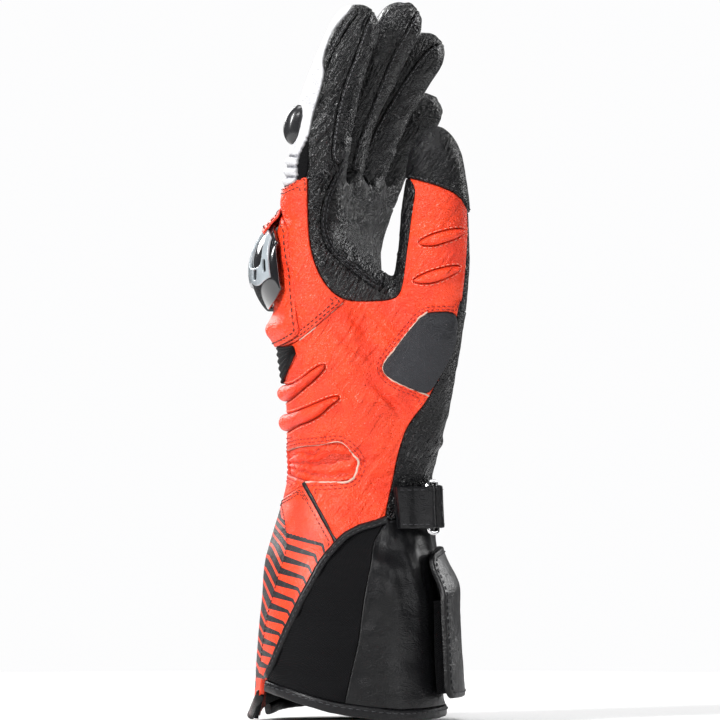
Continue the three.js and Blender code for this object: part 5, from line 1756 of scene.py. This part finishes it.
# name of the skin, piece, material, replaced nodes, lift, rounding, height and width of the padding
ROWS = [
    ("cuff_back", "cuff_back_panel", "stripes", ("cuff_back_panel",), 0.2, 0.6, UNPADDED),
    ("cuff_side", "cuff_side_panel", "textile", ("cuff_side_panel",), 0.0, 0.5, UNPADDED),
    ("cuff_palm", "cuff_palm_panel", "satin", ("cuff_palm_panel",), 0.2, 0.7, UNPADDED),
    ("thumb_cap", "thumb_cap", "palm", ("thumb_cap",), 0.6, 0.9, (0.3, 4)),
    ("thumb_patch", "thumb_patch", "grey", ("thumb_patch",), 0.7, 0.5, (0.5, 5)),
    ("thumb_front", "thumb_front", "palm", ("thumb_front",), 0.0, 0.7, UNPADDED),
    ("index_side", "index_finger_and_web", "black", ("index_finger", "webbing_panel"), 0.3, 0.8, UNPADDED),
]
for finger in TUBES:
    if finger != "index":
        name = finger + "_finger"
        ROWS.append((finger + "_side", name, "black", (name,), 0.0, 0.8, UNPADDED))
    back = finger + "_finger_back"
    ROWS.append((finger + "_back", back, "white", (back,), 0.5, 0.8, (0.4, 4)))
ROWS += [
    ("palm", "palm_panel", "palm", ("palm_panel",), 0.2, 0.8, UNPADDED),
    ("bar_upper", "wrist_bar_upper", "orange", ("wrist_bar_upper",), 0.4, 0.9, WRIST_BAR),
    ("bar_lower", "wrist_bar_lower", "orange", ("wrist_bar_lower",), 0.4, 0.9, WRIST_BAR),
    ("window", "wrist_gather", "orange", ("wrist_gather",), -1.3, 0.3, UNPADDED),
    ("thumb_bar_lower", "thumb_bar_lower", "orange", ("thumb_bar_lower",), 0.2, 0.8, THUMB_BAR),
    ("thumb_bar_upper", "thumb_bar_upper", "orange", ("thumb_bar_upper",), 0.2, 0.8, THUMB_BAR),
    ("knuckle_panel", "knuckle_panel", "orange", ("hand_back_panel",), 0.9, 0.7, UNPADDED),
    ("orange_hand", "orange_hand", "orange", ("hand_back_panel", "thumb_back"), 0.3, 0.7, UNPADDED),
]
for finger in ("index", "middle", "ring"):
    name = finger + "_finger"
    ROWS.append((finger + "_front", name + "_front", "black", (name,), 0.0, 0.7, (0.2, 4)))
ROWS += [
    ("index_stretch", "index_stretch_panel", "textile", ("index_finger",), -0.3, 0.4, UNPADDED),
    ("index_tip", "index_tip_patch", "black", ("index_finger",), 0.3, 0.7, (0.7, 3.5)),
]
RELIEFS = {"orange_hand": orange_folds, "knuckle_panel": orange_folds, "cuff_palm": cuff_folds,
           "cuff_side": textile_folds, "palm": palm_folds, "window": gathered_folds, "index_back": ribs}
RELIEFS.update({finger + part: finger_folds for finger in TUBES for part in ("_side", "_front")})
# Values over a piece that its material reads
SHOWN = {"cuff_back": ("stripe", "striped"), "index_back": ("groove",)}


def closed(name):
    return [*NEAR[name], NEAR[name][0]]


# piece, side-view line that the rows follow, how far from it they may be, row offsets, thread
STITCH_ROWS = [
    ("knuckle_panel", KNUCKLE_SEAM, 11, (1.3, 2.9), "dark"),
    ("knuckle_panel", [(284, 190), (287, 189), (306, 179)], 12, (1.0, 2.9), "dark"),
    ("orange_hand", closed("thumb_patch"), 11, (1.3, 2.7), "red"),
    ("orange_hand", closed("window"), 11, (1.5, 3.2), "red"),
    ("orange_hand", closed("bar_upper"), 5, (1.1,), "orange"),
    ("orange_hand", closed("bar_lower"), 5, (1.1,), "orange"),
    ("orange_hand", closed("thumb_bar_upper"), 5, (0.9,), "orange"),
    ("orange_hand", closed("thumb_bar_lower"), 5, (0.9,), "orange"),
    ("palm", CRESCENT, 12, (1.2, 2.8), "grey"),
    ("index_front", NEAR["index_front"][1:11], 9, (1.1,), "light"),
    ("middle_front", NEAR["middle_front"][1:12], 9, (1.1,), "light"),
    ("ring_front", NEAR["ring_front"][1:12], 9, (1.1,), "light"),
    ("index_tip", closed("index_tip"), 9, (1.2,), "light"),
    ("cuff_back", [(283, 498), (303, 484)], 14, (1.6, 3.2), "dark"),
    ("cuff_back", [(303, 484), (318, 508), (336, 538)], 9, (2.4,), "dark"),
    ("cuff_palm", closed("cuff_palm")[:6], 9, (1.2,), "grey"),
    ("thumb_cap", [(416, 190), (440, 195), (472, 225)], 14, (1.2,), "grey"),
]


FINE_STITCH, SEAM_STITCH = (1.9, 1.2, 0.15), (2.4, 1.7, 0.2)  # pitch, length and radius


def stitch_rows():
    for key, line, reach, offsets, thread in STITCH_ROWS:
        side = to_side(line)
        near_line = lambda p: line_distance(p[:, [0, 2]], side)[0] < reach * SIDE_UNIT
        size = FINE_STITCH if thread == "light" else SEAM_STITCH
        for offset in offsets:
            for points, normals in contour_lines(tops[key], tops[key].values["edge"] - offset):
                stitch_along(points, normals, thread, near_line, *size)


# The ridge that the stripes start from, at these heights of the side view
RIDGE = ([498, 530, 545, 560, 575, 597, 615, 640, 660, 720],
         [281, 287.5, 287.5, 283, 279, 273, 268, 264, 261, 250])


def stripe_values(skin):
    """Bent stripes that start from the ridge, thick beside it and thin at the piping."""
    u, v = to_units(skin.points).T
    right = u - np.interp(v, *RIDGE)
    reach = np.interp(v, [p[1] for p in PIPED], [p[0] for p in PIPED]) - np.interp(v, *RIDGE)
    share = np.clip(right / np.maximum(reach, 5), 0, 1)
    run = v - 0.27 * np.clip(right, 0, None) - 0.9 * np.clip(right - 0.72 * reach, 0, None)
    run = run + 1.3 * np.clip(-right, 0, 14) + 0.3 * np.clip(-right - 14, 0, None)
    wide = np.where(right > 0, 0.27 - 0.17 * share, 0.36)
    shown = np.where(right > 0, np.minimum(run - 531, 676 - run), np.minimum(run - 520, 690 - run))
    skin.values["stripe"] = (run - 531) / 11.7 + 0.3
    skin.values["striped"] = np.where(shown > 0, wide, -0.1)
    left = (right < -2) & (v > 503) & (run < 520)
    skin.values["striped"] = np.where(left, 0.6, skin.values["striped"])

# Making it all

SHELL_LOW, SHELL_HIGH = np.array([-52.0, -64, -16]), np.array([58.0, 64, 330])

camera()
shell = surface_net(form, SHELL_LOW, SHELL_HIGH, CELL)
shell.values.update(parts_distance(shell.points))
panels = cut_panels(shell)
stripe_values(panels["cuff_back"])
# The gaps between the ribs, which the white leather darkens with painted shade.
panels["index_back"].values["groove"] = gap_of(to_units(panels["index_back"].points)[:, 1]) ** 2
tops = {}
for key, name, material, replaced, lift, rounding, padding in ROWS:
    made, tops[key] = thick_piece(name, panels[key], 1.8, lift, rounding, padding, RELIEFS.get(key, wrinkles),
                                  SHOWN.get(key, ()))
    finish_piece(made, material, replaced)
stitch_rows()
make_surface(tops.values())
trim("cuff_back_edging", [(304, 482), (318, 507), (336, 540)], 2.0, 1.0, "strap", 0.2)
ridge_line = [(281, 500), (287, 530), (287.5, 545), (279, 575), (273, 597), (268, 615), (264, 640),
              (261, 660)]
stitch_along(*traced(ridge_line), "dark", pitch=2.3, length=1.7, radius=0.2)
trim("patch_raw_edge", [(427, 312.5), (420, 317), (405, 335), (390, 355), (383, 364), (382.5, 369),
                        (385, 374), (390, 379), (410, 388), (428, 395.5)],
     0.8, 0.9, "raw", 0.1, rough=0.35)
trim("window_raw_edge_top", [(288, 450), (300, 446), (320, 444), (341, 441), (350, 449)],
     0.5, 0.5, "raw", -0.1, rough=0.1)
trim("window_raw_edge", [(350, 449), (358, 459), (358, 466), (352, 479), (330, 481), (306, 481)],
     1.1, 0.9, "raw", -0.1, rough=0.35)
trim("knuckle_raw_edge", KNUCKLE_SEAM[:5], 0.6, 0.5, "raw", -0.2, rough=0.12)
knuckle_surround()
knuckle_guard()
knuckle_frame()
guard_flap()
finger_guards()
stretch_band()
hairpin("strap_anchor", -1, layer(138, 114), layer(136, 114))
hairpin("wrist_strap", 1, layer(162, 296), layer(163, 210))
strap_loop()
closure_flap()
hook_pad()
hem()
piping("cuff_piping_thumb_side", 1)
piping("cuff_piping_outer_side", -1)
build_stitches()
studio()
